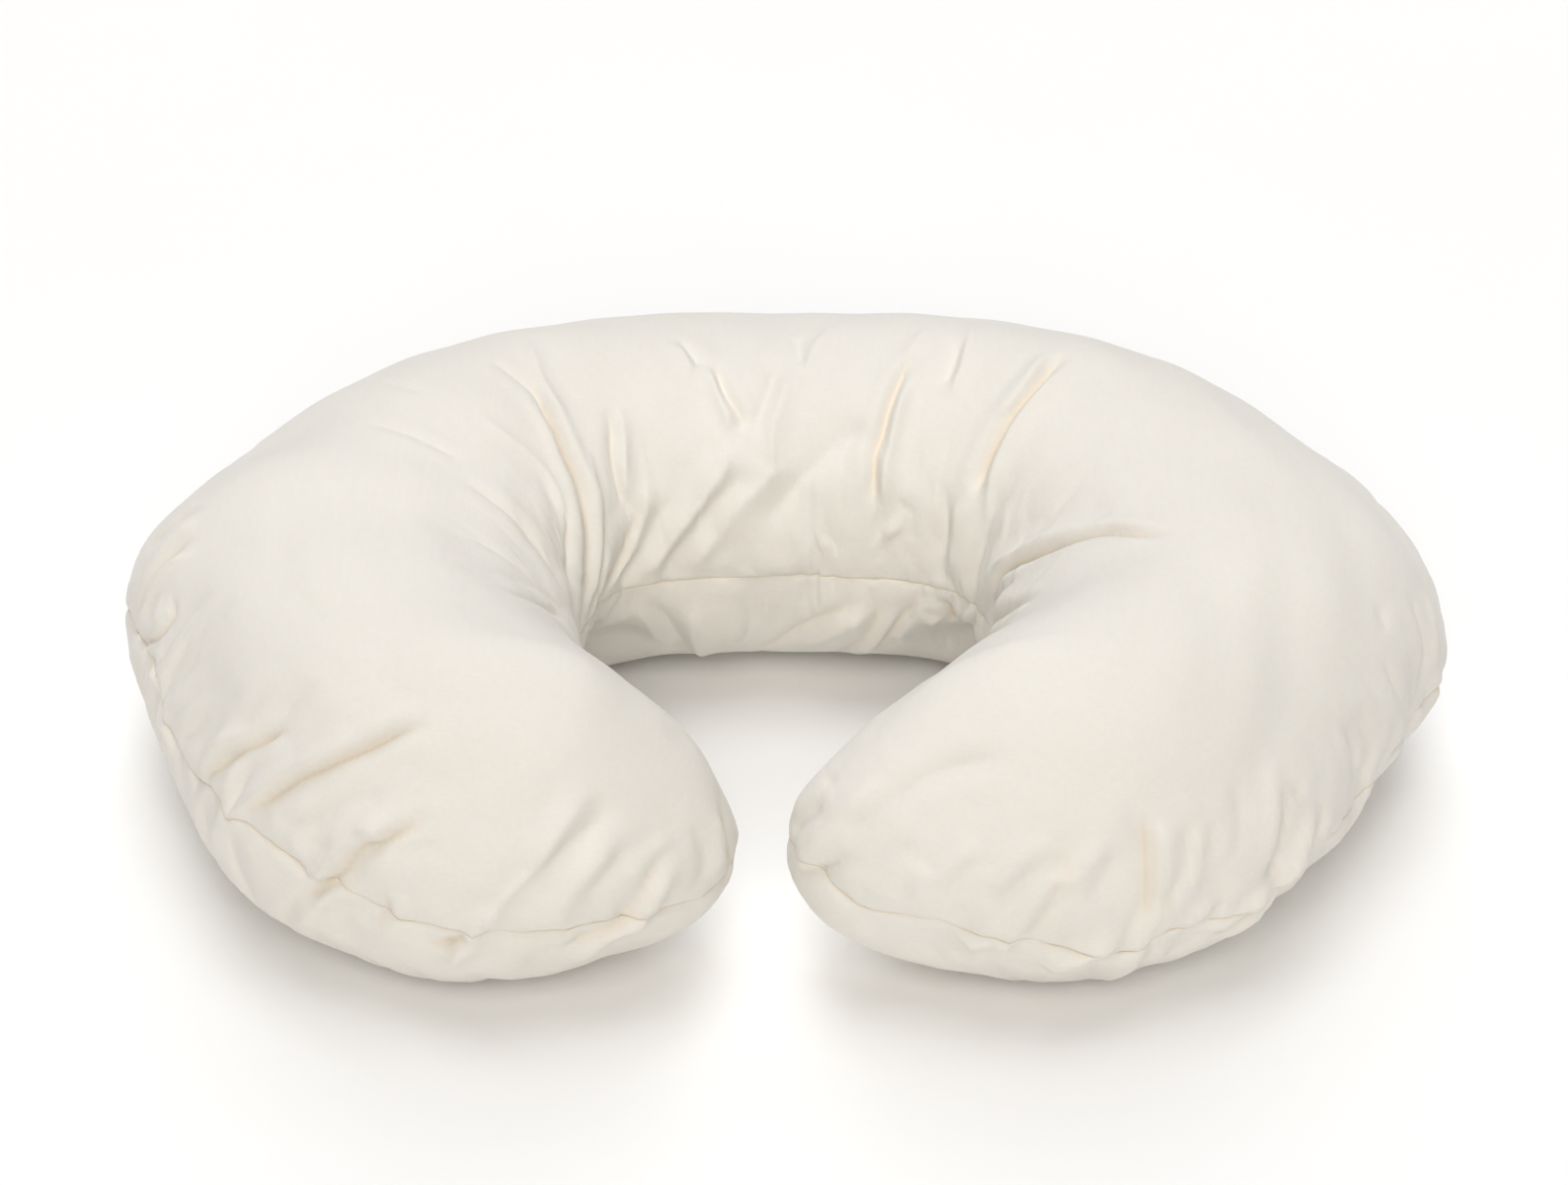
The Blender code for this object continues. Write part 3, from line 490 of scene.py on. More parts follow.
# Where the stuffing is fuller or emptier: place, reach and height, in mm.
LUMPS = [(-30, 25, 46, 22, 5.5), (36, 26, 46, 22, 5.5), (3, 25, 44, 13, 1.5), (-84, 12, 30, 27, -24), (85, 14, 30, 26, -24),
         (-62, 16, 24, 18, -5), (62, 18, 24, 16, -5), (-214, 70, 155, 46, -3.4), (-245, 42, 146, 34, -2.2),
         (-163, 116, 153, 30, 1.6), (-50, 142, 157, 50, -1.2), (-12, 142, 158, 46, -1.4), (155, 120, 154, 30, 1.8),
         (250, 38, 145, 40, -2.2), (289, -60, 63, 30, -1.4), (177, -190, 39, 30, -2.8), (118, -200, 29, 30, -2.4),
         (84, -203, 34, 30, -3.4), (58, -196, 38, 26, -2.6), (-74, -196, 40, 30, -3.6), (-100, -196, 29, 24, -1.2),
         (-180, -176, 20, 26, 1.2), (-208, -164, 27, 26, 2.6), (-233, -149, 37, 28, 4.0), (-252, -126, 46, 26, 2.2),
         (-59, -139, 140, 26, -3.8), (-39, -151, 116, 24, -2.8), (-24, -141, 88, 20, -2.4), (40, -149, 138, 28, -5.2),
         (21, -146, 111, 22, -2.6), (-68, -112, 140, 24, -2.0)]
lift_folds = lift.copy()
for x, y, z, reach, tall in LUMPS:
    far = ((form - np.array([x, y, z]) / 1000) ** 2).sum(2) / (reach / 1000) ** 2
    lift += np.exp(-far) * tall / 1000

# Slow unevenness of the stuffing.
for k in range(16):
    wave = rng.normal(size=3)
    wave *= 2 * math.pi / (rng.uniform(0.035, 0.13) * np.linalg.norm(wave))
    part = np.sin(form @ wave + rng.uniform(0, 2 * math.pi))
    lift += part * rng.uniform(0.00012, 0.00034) * (1 - 0.7 * open_zip[:, None] * np.exp(-(rel / 0.02) ** 2))

lift_before_folds = lift - lift_folds
# The stitching pulls the seam in.
seam_pull = 0.0016 * (1 - 0.75 * open_zip[:, None])
lift -= seam_pull * np.exp(-np.abs(rel) / 0.0024) * (0.85 + 0.25 * np.sin(u_mm / 9.0)[:, None])
floor_fade = np.clip((form[..., 2] - 0.0006) / 0.006, 0, 1)     # nothing moves where it rests
lift *= np.where(skin[..., 2] < -0.6, floor_fade, 1)
lift[:, 0] = 0.0

# ------------------------------------------------------------------ cloth simulation
def simulate(start, steps=12):
    """Lets the two sewn panels, cut a little too wide near their seam, settle over the stuffing
    under its pressure. The net stops short of the spines, where its columns would meet in
    coincident points and the solver wouldn't move. Returns how far each point moved."""
    cols, rows = start.shape[:2]
    mesh = bpy.data.meshes.new("net")
    i = np.arange(cols)[:, None]
    j = np.arange(rows - 1)[None, :]
    a = (i * rows + j).ravel()
    b = ((i + 1) % cols * rows + j).ravel()
    quads = np.stack([a, a + 1, b + 1, b], 1)
    mesh.from_pydata(start.reshape(-1, 3).tolist(), [], quads.tolist())
    mesh.update()
    net = bpy.data.objects.new("net", mesh)
    bpy.context.scene.collection.objects.link(net)
    hold, slack = net.vertex_groups.new(name="hold"), net.vertex_groups.new(name="slack")
    for w in np.unique(net_hold):
        hold.add(np.where(net_hold.ravel() == w)[0].tolist(), float(w), "REPLACE")
    taut = np.round(1 - net_slack, 1)
    for w in np.unique(taut):
        slack.add(np.where(taut.ravel() == w)[0].tolist(), float(w), "REPLACE")
    mod = net.modifiers.new("cloth", "CLOTH")
    st = mod.settings
    st.quality = 5
    st.mass = 0.005
    st.tension_stiffness, st.compression_stiffness, st.shear_stiffness = 25, 25, 12.5
    st.bending_model = "ANGULAR"
    st.bending_stiffness = 0.35
    st.tension_damping = st.compression_damping = st.shear_damping = 5
    st.air_damping = 1
    st.use_pressure = True
    st.uniform_pressure_force = 10
    st.vertex_group_mass = "hold"
    st.pin_stiffness = 0.9
    st.vertex_group_shrink = "slack"
    st.shrink_min, st.shrink_max = -0.06, 0.0
    st.effector_weights.gravity = 0
    mod.collision_settings.use_collision = False
    mod.point_cache.frame_start, mod.point_cache.frame_end = 1, steps + 1
    scene = bpy.context.scene
    scene.frame_start, scene.frame_end = 1, steps + 1
    for frame_no in range(1, steps + 1):
        scene.frame_set(frame_no)
    done = net.evaluated_get(bpy.context.evaluated_depsgraph_get())
    moved = np.zeros(len(mesh.vertices) * 3)
    done.data.vertices.foreach_get("co", moved)
    bpy.data.objects.remove(net)
    scene.frame_set(1)
    return moved.reshape(start.shape) - start


LABEL_AT = (-0.2500, 0.1145, 0.0725)      # the middle of the label's sewn edge
settled = np.zeros_like(form)
pick_rows = list(range(BASE_EDGE - 63, BASE_EDGE, 2)) + list(range(TOP_EDGE, TOP_EDGE + 64, 2))
smooth_lift = lift_before_folds
net = (form + skin * smooth_lift[..., None])[::2][:, pick_rows]
r = np.abs(rel[::2][:, pick_rows])
strength = np.array([gather_strength(u) for u in u_mm[::2]])[:, None]
net_slack = np.round(np.clip(strength * np.exp(-(r / 0.040) ** 2), 0, 1), 1)
net_hold = np.where(r < 0.001, 0.30, 0.020) + 0.10 * np.clip((r - 0.03) / 0.05, 0, 1)
net_hold = np.maximum(net_hold, 0.6 * open_zip[::2, None] * np.exp(-(r / 0.012) ** 2))
net_hold = np.where((skin[::2][:, pick_rows][..., 2] < -0.9) & (net[..., 2] < 0.004), 0.8, net_hold)
net_hold = np.round(net_hold, 2)
net_hold[:, 0] = net_hold[:, -1] = 1.0
move = simulate(net)
length = np.linalg.norm(move, axis=2)[..., None]
move *= 0.85 * 0.0045 * np.tanh(length / 0.0045) / np.maximum(length, 1e-9)
move[:, 1:-1] = 0.5 * move[:, 1:-1] + 0.25 * (move[:, 2:] + move[:, :-2])
rows_fine = np.arange(2 * ROWS + 2)
tall = np.zeros((len(net), 2 * ROWS + 2, 3))
for c in range(3):
    for k in range(len(net)):
        tall[k, :, c] = np.interp(rows_fine, pick_rows, move[k, :, c])
settled[::2] = tall
settled[1::2] = 0.5 * (tall + np.roll(tall, -1, 0))
settled[:, BASE_EDGE] = settled[:, TOP_EDGE]
# the zip and the label's sewn edge hold the cloth still
calm = open_zip.copy()
for _ in range(260):                # spread past the zip's ends, so no step is left there
    calm = 0.5 * calm + 0.25 * (np.roll(calm, 1) + np.roll(calm, -1))
calm = np.maximum(calm, open_zip)
for _ in range(60):
    calm = 0.5 * calm + 0.25 * (np.roll(calm, 1) + np.roll(calm, -1))
still = calm[:, None] * np.exp(-(rel / 0.060) ** 2)
by_label = np.exp(-((form - np.array(LABEL_AT)) ** 2).sum(2) / 0.030 ** 2)
settled *= ((1 - np.clip(still, 0, 1)) * (1 - by_label))[..., None]
used = np.linalg.norm(settled, axis=2) * 1000
print("cloth step, mm: solver mean %.2f max %.2f, used mean %.2f p95 %.2f max %.2f"
      % (length.mean() * 1000, length.max() * 1000, used.mean(), np.percentile(used, 95), used.max()))

cloth = form + skin * lift[..., None] + slide + settled
cloth[..., 2] = np.maximum(cloth[..., 2], 0.0002)
cloth_n = normals(cloth)

# The panel edges turn inwards: a seam allowance at the seam, a hem along the zip.
TUCK = 0.0026 * (1 - open_zip) + 0.0019 * open_zip
inner = 0.5 * (skin[:, BASE_EDGE] + skin[:, TOP_EDGE])
inner /= np.linalg.norm(inner, axis=1)[:, None]
top_tuck = cloth[:, TOP_EDGE] - inner * TUCK[:, None]
base_tuck = cloth[:, BASE_EDGE] - inner * TUCK[:, None]

top = np.concatenate([top_tuck[:, None], cloth[:, TOP_EDGE:]], 1)
base = np.concatenate([base_tuck[:, None], cloth[:, BASE_EDGE::-1]], 1)
top_crease_shade = np.concatenate([crease_shade[:, TOP_EDGE:TOP_EDGE + 1], crease_shade[:, TOP_EDGE:]], 1)
base_crease_shade = np.concatenate([crease_shade[:, BASE_EDGE:BASE_EDGE + 1], crease_shade[:, BASE_EDGE::-1]], 1)
# Painted shade along the seam: the rows next to the seam also get the warm crease colour, standing in for the shadow in
# the seam's groove. There is none along the open zip.
seam_shade = (1 - open_zip) * 0.55
for g in (top_crease_shade, base_crease_shade):
    g[:, 0] = np.maximum(g[:, 0], seam_shade)
    g[:, 1] = np.maximum(g[:, 1], seam_shade)
    g[:, 2] = np.maximum(g[:, 2], 0.35 * seam_shade)


def grid_mesh(name, g, side, mat, values=None):
    cols, rows = g.shape[:2]
    verts = g.reshape(-1, 3)
    i = np.arange(cols)[:, None]
    j = np.arange(rows - 1)[None, :]
    a = (i * rows + j).ravel()
    b = ((i + 1) % cols * rows + j).ravel()
    quads = np.stack([a, a + 1, b + 1, b] if side > 0 else [a, b, b + 1, a + 1], 1)
    mesh = bpy.data.meshes.new(name)
    mesh.vertices.add(len(verts))
    mesh.vertices.foreach_set("co", verts.astype(np.float32).ravel())
    mesh.loops.add(quads.size)
    mesh.loops.foreach_set("vertex_index", quads.astype(np.int32).ravel())
    mesh.polygons.add(len(quads))
    mesh.polygons.foreach_set("loop_start", np.arange(0, quads.size, 4, dtype=np.int32))
    mesh.update(calc_edges=True)
    # store the painted crease shade per point, for the cloth material
    if values is not None:
        layer = mesh.attributes.new("crease_shade", "FLOAT", "POINT")
        layer.data.foreach_set("value", values.astype(np.float32).ravel())
    mesh.validate()
    bm = bmesh.new()
    bm.from_mesh(mesh)
    bmesh.ops.remove_doubles(bm, verts=bm.verts, dist=0.00002)
    bm.to_mesh(mesh)
    bm.free()
    mesh.materials.append(mat)
    mesh.shade_smooth()
    obj = bpy.data.objects.new(name, mesh)
    bpy.context.scene.collection.objects.link(obj)
    return obj


# ------------------------------------------------------------------ materials
def shader(name):
    mat = bpy.data.materials.new(name)
    mat.use_nodes = True
    tree = mat.node_tree
    return mat, tree, tree.nodes["Principled BSDF"]


def node(tree, kind, **values):
    n = tree.nodes.new(kind)
    for key, value in values.items():
        if key.startswith("in_"):
            n.inputs[key[3:].replace("_", " ")].default_value = value
        else:
            setattr(n, key, value)
    return n


def place(tree, scale=(1, 1, 1), turn=(0, 0, 0)):
    co = node(tree, "ShaderNodeTexCoord")
    m = node(tree, "ShaderNodeMapping")
    m.inputs["Scale"].default_value = scale
    m.inputs["Rotation"].default_value = turn
    tree.links.new(co.outputs["Object"], m.inputs["Vector"])
    return m.outputs["Vector"]


def noise(tree, vector, scale, detail=3.0, rough=0.55):
    n = node(tree, "ShaderNodeTexNoise", in_Scale=scale, in_Detail=detail, in_Roughness=rough)
    tree.links.new(vector, n.inputs["Vector"])
    return n.outputs["Fac"]


def wave(tree, vector, scale, axis, distortion=0.0):
    n = node(tree, "ShaderNodeTexWave", wave_type="BANDS", bands_direction=axis, wave_profile="SIN",
             in_Scale=scale, in_Distortion=distortion, in_Detail=1.0)
    tree.links.new(vector, n.inputs["Vector"])
    return n.outputs["Fac"]


def maths(tree, op, a, b, clamp=False):
    n = node(tree, "ShaderNodeMath", operation=op, use_clamp=clamp)
    for k, x in enumerate((a, b)):
        if isinstance(x, (int, float)):
            n.inputs[k].default_value = x
        else:
            tree.links.new(x, n.inputs[k])
    return n.outputs[0]


def ramp(tree, fac, stops):
    n = node(tree, "ShaderNodeValToRGB")
    while len(n.color_ramp.elements) < len(stops):
        n.color_ramp.elements.new(0.5)
    for e, (at, colour) in zip(n.color_ramp.elements, stops):
        e.position = at
        e.color = (*colour, 1) if len(colour) == 3 else colour
    tree.links.new(fac, n.inputs["Fac"])
    return n.outputs["Color"]


def grey(v):
    return (v, v, v)


def bump(tree, height, strength, distance, after=None):
    n = node(tree, "ShaderNodeBump", in_Strength=strength, in_Distance=distance)
    tree.links.new(height, n.inputs["Height"])
    if after is not None:
        tree.links.new(after, n.inputs["Normal"])
    return n.outputs["Normal"]


def woven(tree, pitch):
    """Plain weave that needs no UVs: threads along each axis, uneven and slightly wandering."""
    co = place(tree)
    wander = node(tree, "ShaderNodeTexNoise", in_Scale=60.0, in_Detail=2.0)
    tree.links.new(co, wander.inputs["Vector"])
    shift = node(tree, "ShaderNodeVectorMath", operation="MULTIPLY_ADD")
    tree.links.new(wander.outputs["Color"], shift.inputs[0])
    shift.inputs[1].default_value = (0.0011, 0.0011, 0.0011)
    tree.links.new(co, shift.inputs[2])
    bent = shift.outputs[0]
    scale = 0.05 / pitch * 2.0
    x, y, z = (wave(tree, bent, scale, axis) for axis in ("X", "Y", "Z"))
    return maths(tree, "MULTIPLY", maths(tree, "ADD", maths(tree, "ADD", x, y), z), 0.33)


def cloth_material(name, light, dark, pitch=0.0005, sheen=0.25, crease_shade_colour=None, crumple=0.0):
    mat, tree, out = shader(name)
    co = place(tree)
    cloud = noise(tree, co, 7.0, 3.0)
    fleck = noise(tree, place(tree, (0.25, 1, 1)), 900.0, 2.0)
    slub = noise(tree, place(tree, (1, 0.12, 1)), 420.0, 2.0)
    tone = maths(tree, "ADD", maths(tree, "MULTIPLY", cloud, 0.55),
                 maths(tree, "ADD", maths(tree, "MULTIPLY", fleck, 0.25), maths(tree, "MULTIPLY", slub, 0.20)))
    colour = ramp(tree, tone, [(0.36, dark), (0.62, light)])
    # Painted shade: the shade colour is mixed into the base colour where the mesh's painted-shade attribute is set. It
    # stands in for the shade and warm bounce light in creases and along the seam.
    if crease_shade_colour is not None:
        crease_shade_attr = node(tree, "ShaderNodeAttribute", attribute_name="crease_shade", attribute_type="GEOMETRY")
        mix = node(tree, "ShaderNodeMix", data_type="RGBA")
        mix.inputs["B"].default_value = (*crease_shade_colour, 1)
        mix.inputs[7].default_value = (*crease_shade_colour, 1)
        tree.links.new(maths(tree, "MULTIPLY", crease_shade_attr.outputs["Fac"], 0.55, True), mix.inputs[0])
        tree.links.new(colour, mix.inputs[6])
        colour = mix.outputs[2]
    tree.links.new(colour, out.inputs["Base Color"])
    rough = ramp(tree, fleck, [(0.3, grey(0.80)), (0.7, grey(0.93))])
    tree.links.new(rough, out.inputs["Roughness"])
    normal = bump(tree, woven(tree, pitch), 0.30, pitch * 0.22)
    normal = bump(tree, slub, 0.25, 0.00010, normal)
    if crumple:
        folds = noise(tree, place(tree, (1, 1, 1.4)), 38.0, 4.0, 0.5)
        normal = bump(tree, folds, 0.55, crumple, normal)
    tree.links.new(normal, out.inputs["Normal"])
    out.inputs["Sheen Weight"].default_value = sheen
    out.inputs["Sheen Roughness"].default_value = 0.45
    out.inputs["Specular IOR Level"].default_value = 0.25
    return mat


# the third colour is the painted warm shade for creases and the seam
cotton = cloth_material("cream_cotton", (0.815, 0.785, 0.725), (0.775, 0.742, 0.678), 0.00050, 0.20,
                        (0.80, 0.60, 0.36), 0.0013)
cotton.node_tree.nodes["Principled BSDF"].inputs["Subsurface Weight"].default_value = 0.12
cotton.node_tree.nodes["Principled BSDF"].inputs["Subsurface Radius"].default_value = (1.0, 0.62, 0.36)
cotton.node_tree.nodes["Principled BSDF"].inputs["Subsurface Scale"].default_value = 0.004
casing = cloth_material("white_casing", (0.80, 0.795, 0.78), (0.75, 0.745, 0.725), 0.00040, 0.15)
tape_cloth = cloth_material("cream_tape", (0.79, 0.755, 0.685), (0.72, 0.685, 0.61), 0.00065, 0.10)
label_cloth = cloth_material("white_label", (0.84, 0.835, 0.82), (0.79, 0.785, 0.765), 0.00035, 0.10)

fibre, tree, out = shader("polyester_fibre")
strands = noise(tree, place(tree, (1, 0.15, 1), (0.4, 0.2, 0.7)), 260.0, 4.0, 0.7)
tufts = noise(tree, place(tree), 40.0, 4.0, 0.6)
tree.links.new(ramp(tree, maths(tree, "ADD", maths(tree, "MULTIPLY", strands, 0.5), maths(tree, "MULTIPLY", tufts, 0.5)),
                    [(0.35, (0.78, 0.78, 0.77)), (0.65, (0.90, 0.90, 0.89))]), out.inputs["Base Color"])
tree.links.new(ramp(tree, strands, [(0.3, grey(0.75)), (0.7, grey(0.95))]), out.inputs["Roughness"])
tree.links.new(bump(tree, strands, 0.7, 0.0006, bump(tree, tufts, 0.8, 0.003)), out.inputs["Normal"])
out.inputs["Sheen Weight"].default_value = 0.4

thread, tree, out = shader("cream_thread")
ply = wave(tree, place(tree, (1, 1, 1), (0.6, 0.5, 0.4)), 110.0, "DIAGONAL")
tree.links.new(ramp(tree, noise(tree, place(tree), 300.0), [(0.35, (0.70, 0.63, 0.52)), (0.65, (0.80, 0.74, 0.64))]),
               out.inputs["Base Color"])
tree.links.new(ramp(tree, ply, [(0.2, grey(0.6)), (0.8, grey(0.85))]), out.inputs["Roughness"])
tree.links.new(bump(tree, ply, 0.6, 0.00008), out.inputs["Normal"])
out.inputs["Sheen Weight"].default_value = 0.1

nylon, tree, out = shader("cream_nylon")
streak = noise(tree, place(tree), 500.0, 3.0)
tree.links.new(ramp(tree, streak, [(0.35, (0.72, 0.68, 0.59)), (0.65, (0.79, 0.76, 0.68))]), out.inputs["Base Color"])
tree.links.new(ramp(tree, streak, [(0.3, grey(0.30)), (0.7, grey(0.46))]), out.inputs["Roughness"])
tree.links.new(bump(tree, streak, 0.3, 0.00004), out.inputs["Normal"])

nickel, tree, out = shader("nickel")
scuff = noise(tree, place(tree, (1, 1, 0.2)), 700.0, 4.0, 0.65)
dull = noise(tree, place(tree), 90.0, 3.0)
tree.links.new(ramp(tree, dull, [(0.35, (0.58, 0.56, 0.53)), (0.65, (0.68, 0.665, 0.64))]), out.inputs["Base Color"])
tree.links.new(ramp(tree, scuff, [(0.3, grey(0.22)), (0.7, grey(0.42))]), out.inputs["Roughness"])
tree.links.new(bump(tree, scuff, 0.25, 0.00003), out.inputs["Normal"])
out.inputs["Metallic"].default_value = 1.0


# ------------------------------------------------------------------ cover
def rides(obj, body, nodes):
    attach(obj, body)
    if nodes:
        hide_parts(*nodes)
    return obj


top_panel = rides(grid_mesh("cover_top", top, 1, cotton, top_crease_shade), "pillow", ["cover_top_panel"])
base_panel = rides(grid_mesh("cover_base", base, -1, cotton, base_crease_shade), "pillow", ["cover_bottom_panel"])


def tubes(name, runs, radius, sides, mat, closed_ends=True):
    """One mesh of round rods. Each run is an array of points."""
    verts, faces = [], []
    for line in runs:
        line = np.asarray(line, float)
        t = np.gradient(line, axis=0)
        t /= np.maximum(np.linalg.norm(t, axis=1), 1e-12)[:, None]
        ref = np.array([0.0, 0.0, 1.0]) if abs(t[0, 2]) < 0.9 else np.array([1.0, 0.0, 0.0])
        u = np.zeros_like(line)
        prev = ref
        for k in range(len(line)):
            w = prev - t[k] * prev.dot(t[k])
            n = np.linalg.norm(w)
            prev = w / n if n > 1e-6 else prev
            u[k] = prev
        v = np.cross(t, u)
        first = len(verts)
        r = np.full(len(line), radius)
        if closed_ends:
            r[0] = r[-1] = radius * 0.45
        for k in range(len(line)):
            for m in range(sides):
                a = 2 * math.pi * m / sides
                verts.append(tuple(line[k] + r[k] * (math.cos(a) * u[k] + math.sin(a) * v[k])))
        for k in range(len(line) - 1):
            for m in range(sides):
                a, b = first + k * sides + m, first + k * sides + (m + 1) % sides
                faces.append((a, b, b + sides, a + sides))
        faces.append(tuple(first + m for m in range(sides))[::-1])
        last = first + (len(line) - 1) * sides
        faces.append(tuple(last + m for m in range(sides)))
    mesh = bpy.data.meshes.new(name)
    mesh.from_pydata(verts, [], faces)
    mesh.update()
    mesh.materials.append(mat)
    mesh.shade_smooth()
    obj = bpy.data.objects.new(name, mesh)
    bpy.context.scene.collection.objects.link(obj)
    return obj


def stitches(line, pitch, share_of, close, rise=0.0, up=None):
    """Short rods along a line of points, each a little bowed towards up."""
    line = np.vstack([line, line[:1]]) if close else np.asarray(line)
    ups = None if up is None else (np.vstack([up, up[:1]]) if close else np.asarray(up))
    length = np.concatenate([[0.0], np.cumsum(np.linalg.norm(np.diff(line, axis=0), axis=1))])
    out = []
    for k in range(int(length[-1] / pitch)):
        s = np.linspace(k * pitch, (k + share_of) * pitch, 5)
        pts = np.stack([np.interp(s, length, line[:, c]) for c in range(3)], 1)
        if ups is not None:
            n = np.stack([np.interp(s, length, ups[:, c]) for c in range(3)], 1)
            pts = pts + n * (rise * np.array([-0.9, 0.7, 1.0, 0.7, -0.9]))[:, None]
        out.append(pts)
    return out


def at_height(value):
    """Points of the finished cover at this distance above the zip's middle, and their normals."""
    pts, ns = np.zeros((NC, 3)), np.zeros((NC, 3))
    rows = slice(TOP_EDGE, None) if value > 0 else slice(0, BASE_EDGE + 1)
    for k in range(NC):
        for c in range(3):
            pts[k, c] = np.interp(value, height[k, rows], cloth[k, rows, c])
            ns[k, c] = np.interp(value, height[k, rows], cloth_n[k, rows, c])
    return pts, ns


seam_line = top_tuck + inner * (TUCK * 0.45)[:, None]
runs = stitches(seam_line[open_zip < 0.02], 0.0030, 0.72, False)
arc_cols = np.where(np.abs(phi) < ZIP_DEG + 1.6)[0]
arc_cols = arc_cols[rim[arc_cols, 1] > 0.1]
arc_cols = arc_cols[np.argsort(phi[arc_cols])]
for value in (0.0092, -0.0092):
    pts, ns = at_height(value)
    runs += stitches(pts[arc_cols], 0.0028, 0.74, False, 0.00022, ns[arc_cols])
for at, sense in ((arc_cols[6], -1), (arc_cols[-7], 1)):       # bar tacks that close the zip's ends
    low_p, high_p = at_height(-0.0092)[0][at], at_height(0.0092)[0][at]
    bar = np.linspace(low_p, high_p, 30)
    push = at_height(0.0092)[1][at]
    mid_bar = cloth[at, TOP_EDGE]
    depth_bar = np.array([np.interp(z, [low_p[2], mid_bar[2], high_p[2]], [0, 1, 0]) for z in bar[:, 2]])
    base_pt = 0.5 * (low_p + high_p)
    bar = bar + depth_bar[:, None] * ((mid_bar - base_pt) * np.array([1, 1, 0])) + push * 0.0002
    runs += stitches(bar, 0.0011, 0.9, False, 0.00012, np.repeat(push[None], 30, 0))
seam_stitches = rides(tubes("cover_stitching", runs, 0.00024, 6, thread), "pillow", ["cover_seam_thread"])

# ------------------------------------------------------------------ casing and filling
hollow = np.maximum(-lift, 0)
for _ in range(3):
    hollow = np.maximum(hollow, np.maximum(np.roll(hollow, 2, 0), np.roll(hollow, -2, 0)))
    hollow[:, 2:-2] = np.maximum(hollow[:, 2:-2], np.maximum(hollow[:, 4:], hollow[:, :-4]))
for _ in range(4):
    hollow = 0.25 * np.roll(hollow, 3, 0) + 0.5 * hollow + 0.25 * np.roll(hollow, -3, 0)
inset = (0.0036 + hollow + 0.0018 * np.exp(-(rel / 0.007) ** 2)
         + open_zip[:, None] * 0.0064 * np.exp(-(rel / 0.015) ** 2))
soft_skin = skin.copy()
for _ in range(6):
    soft_skin = 0.25 * np.roll(soft_skin, 2, 0) + 0.5 * soft_skin + 0.25 * np.roll(soft_skin, -2, 0)
soft_skin /= np.linalg.norm(soft_skin, axis=2)[..., None]


def thinned(g):
    rows = list(range(0, BASE_EDGE, 3)) + [BASE_EDGE, TOP_EDGE] + list(range(TOP_EDGE + 3, 2 * ROWS + 2, 3))
    if rows[-1] != 2 * ROWS + 1:
        rows.append(2 * ROWS + 1)
    return g[::4][:, rows], rows.index(BASE_EDGE)


under, at_rim = thinned(form - soft_skin * inset[..., None])
middle_rim = 0.5 * (under[:, at_rim] + under[:, at_rim + 1])
under[:, at_rim] = under[:, at_rim + 1] = middle_rim
liner_top = grid_mesh("casing_top", under[:, at_rim + 1:], 1, casing)
liner_base = grid_mesh("casing_base", under[:, at_rim::-1], -1, casing)
for obj, name in ((liner_top, "liner_top_panel"), (liner_base, "liner_bottom_panel")):
    rides(obj, "pillow", [name])
rides(tubes("casing_stitching", stitches(middle_rim + soft_skin[::4, TOP_EDGE] * 0.0003, 0.0030, 0.72, True), 0.00022, 5,
            thread), "pillow", ["liner_seam_thread"])
stuffing, at_rim = thinned(form - soft_skin * (inset + 0.0014)[..., None])
stuffing[:, at_rim] = stuffing[:, at_rim + 1] = (0.5 * (stuffing[:, at_rim] + stuffing[:, at_rim + 1])
                                                 - soft_skin[::4, TOP_EDGE] * 0.0006)
tufty = np.zeros(stuffing.shape[:2])
for k in range(12):
    v = rng.normal(size=3)
    v *= 2 * math.pi / (rng.uniform(0.012, 0.05) * np.linalg.norm(v))
    tufty += np.sin(stuffing @ v + rng.uniform(0, 6.28)) / 12
stuffing = stuffing - thinned(soft_skin)[0] * (0.0012 * (1 + tufty))[..., None]
stuffing = np.delete(stuffing, at_rim + 1, 1)
filling = rides(grid_mesh("filling", stuffing, 1, fibre), "pillow", ["fibre_filling"])


# ------------------------------------------------------------------ zip
def around(deg, radius, z):
    a = np.radians(deg)
    return np.stack([radius * np.sin(a), ARC_Y + radius * np.cos(a), z + 0 * a], -1)


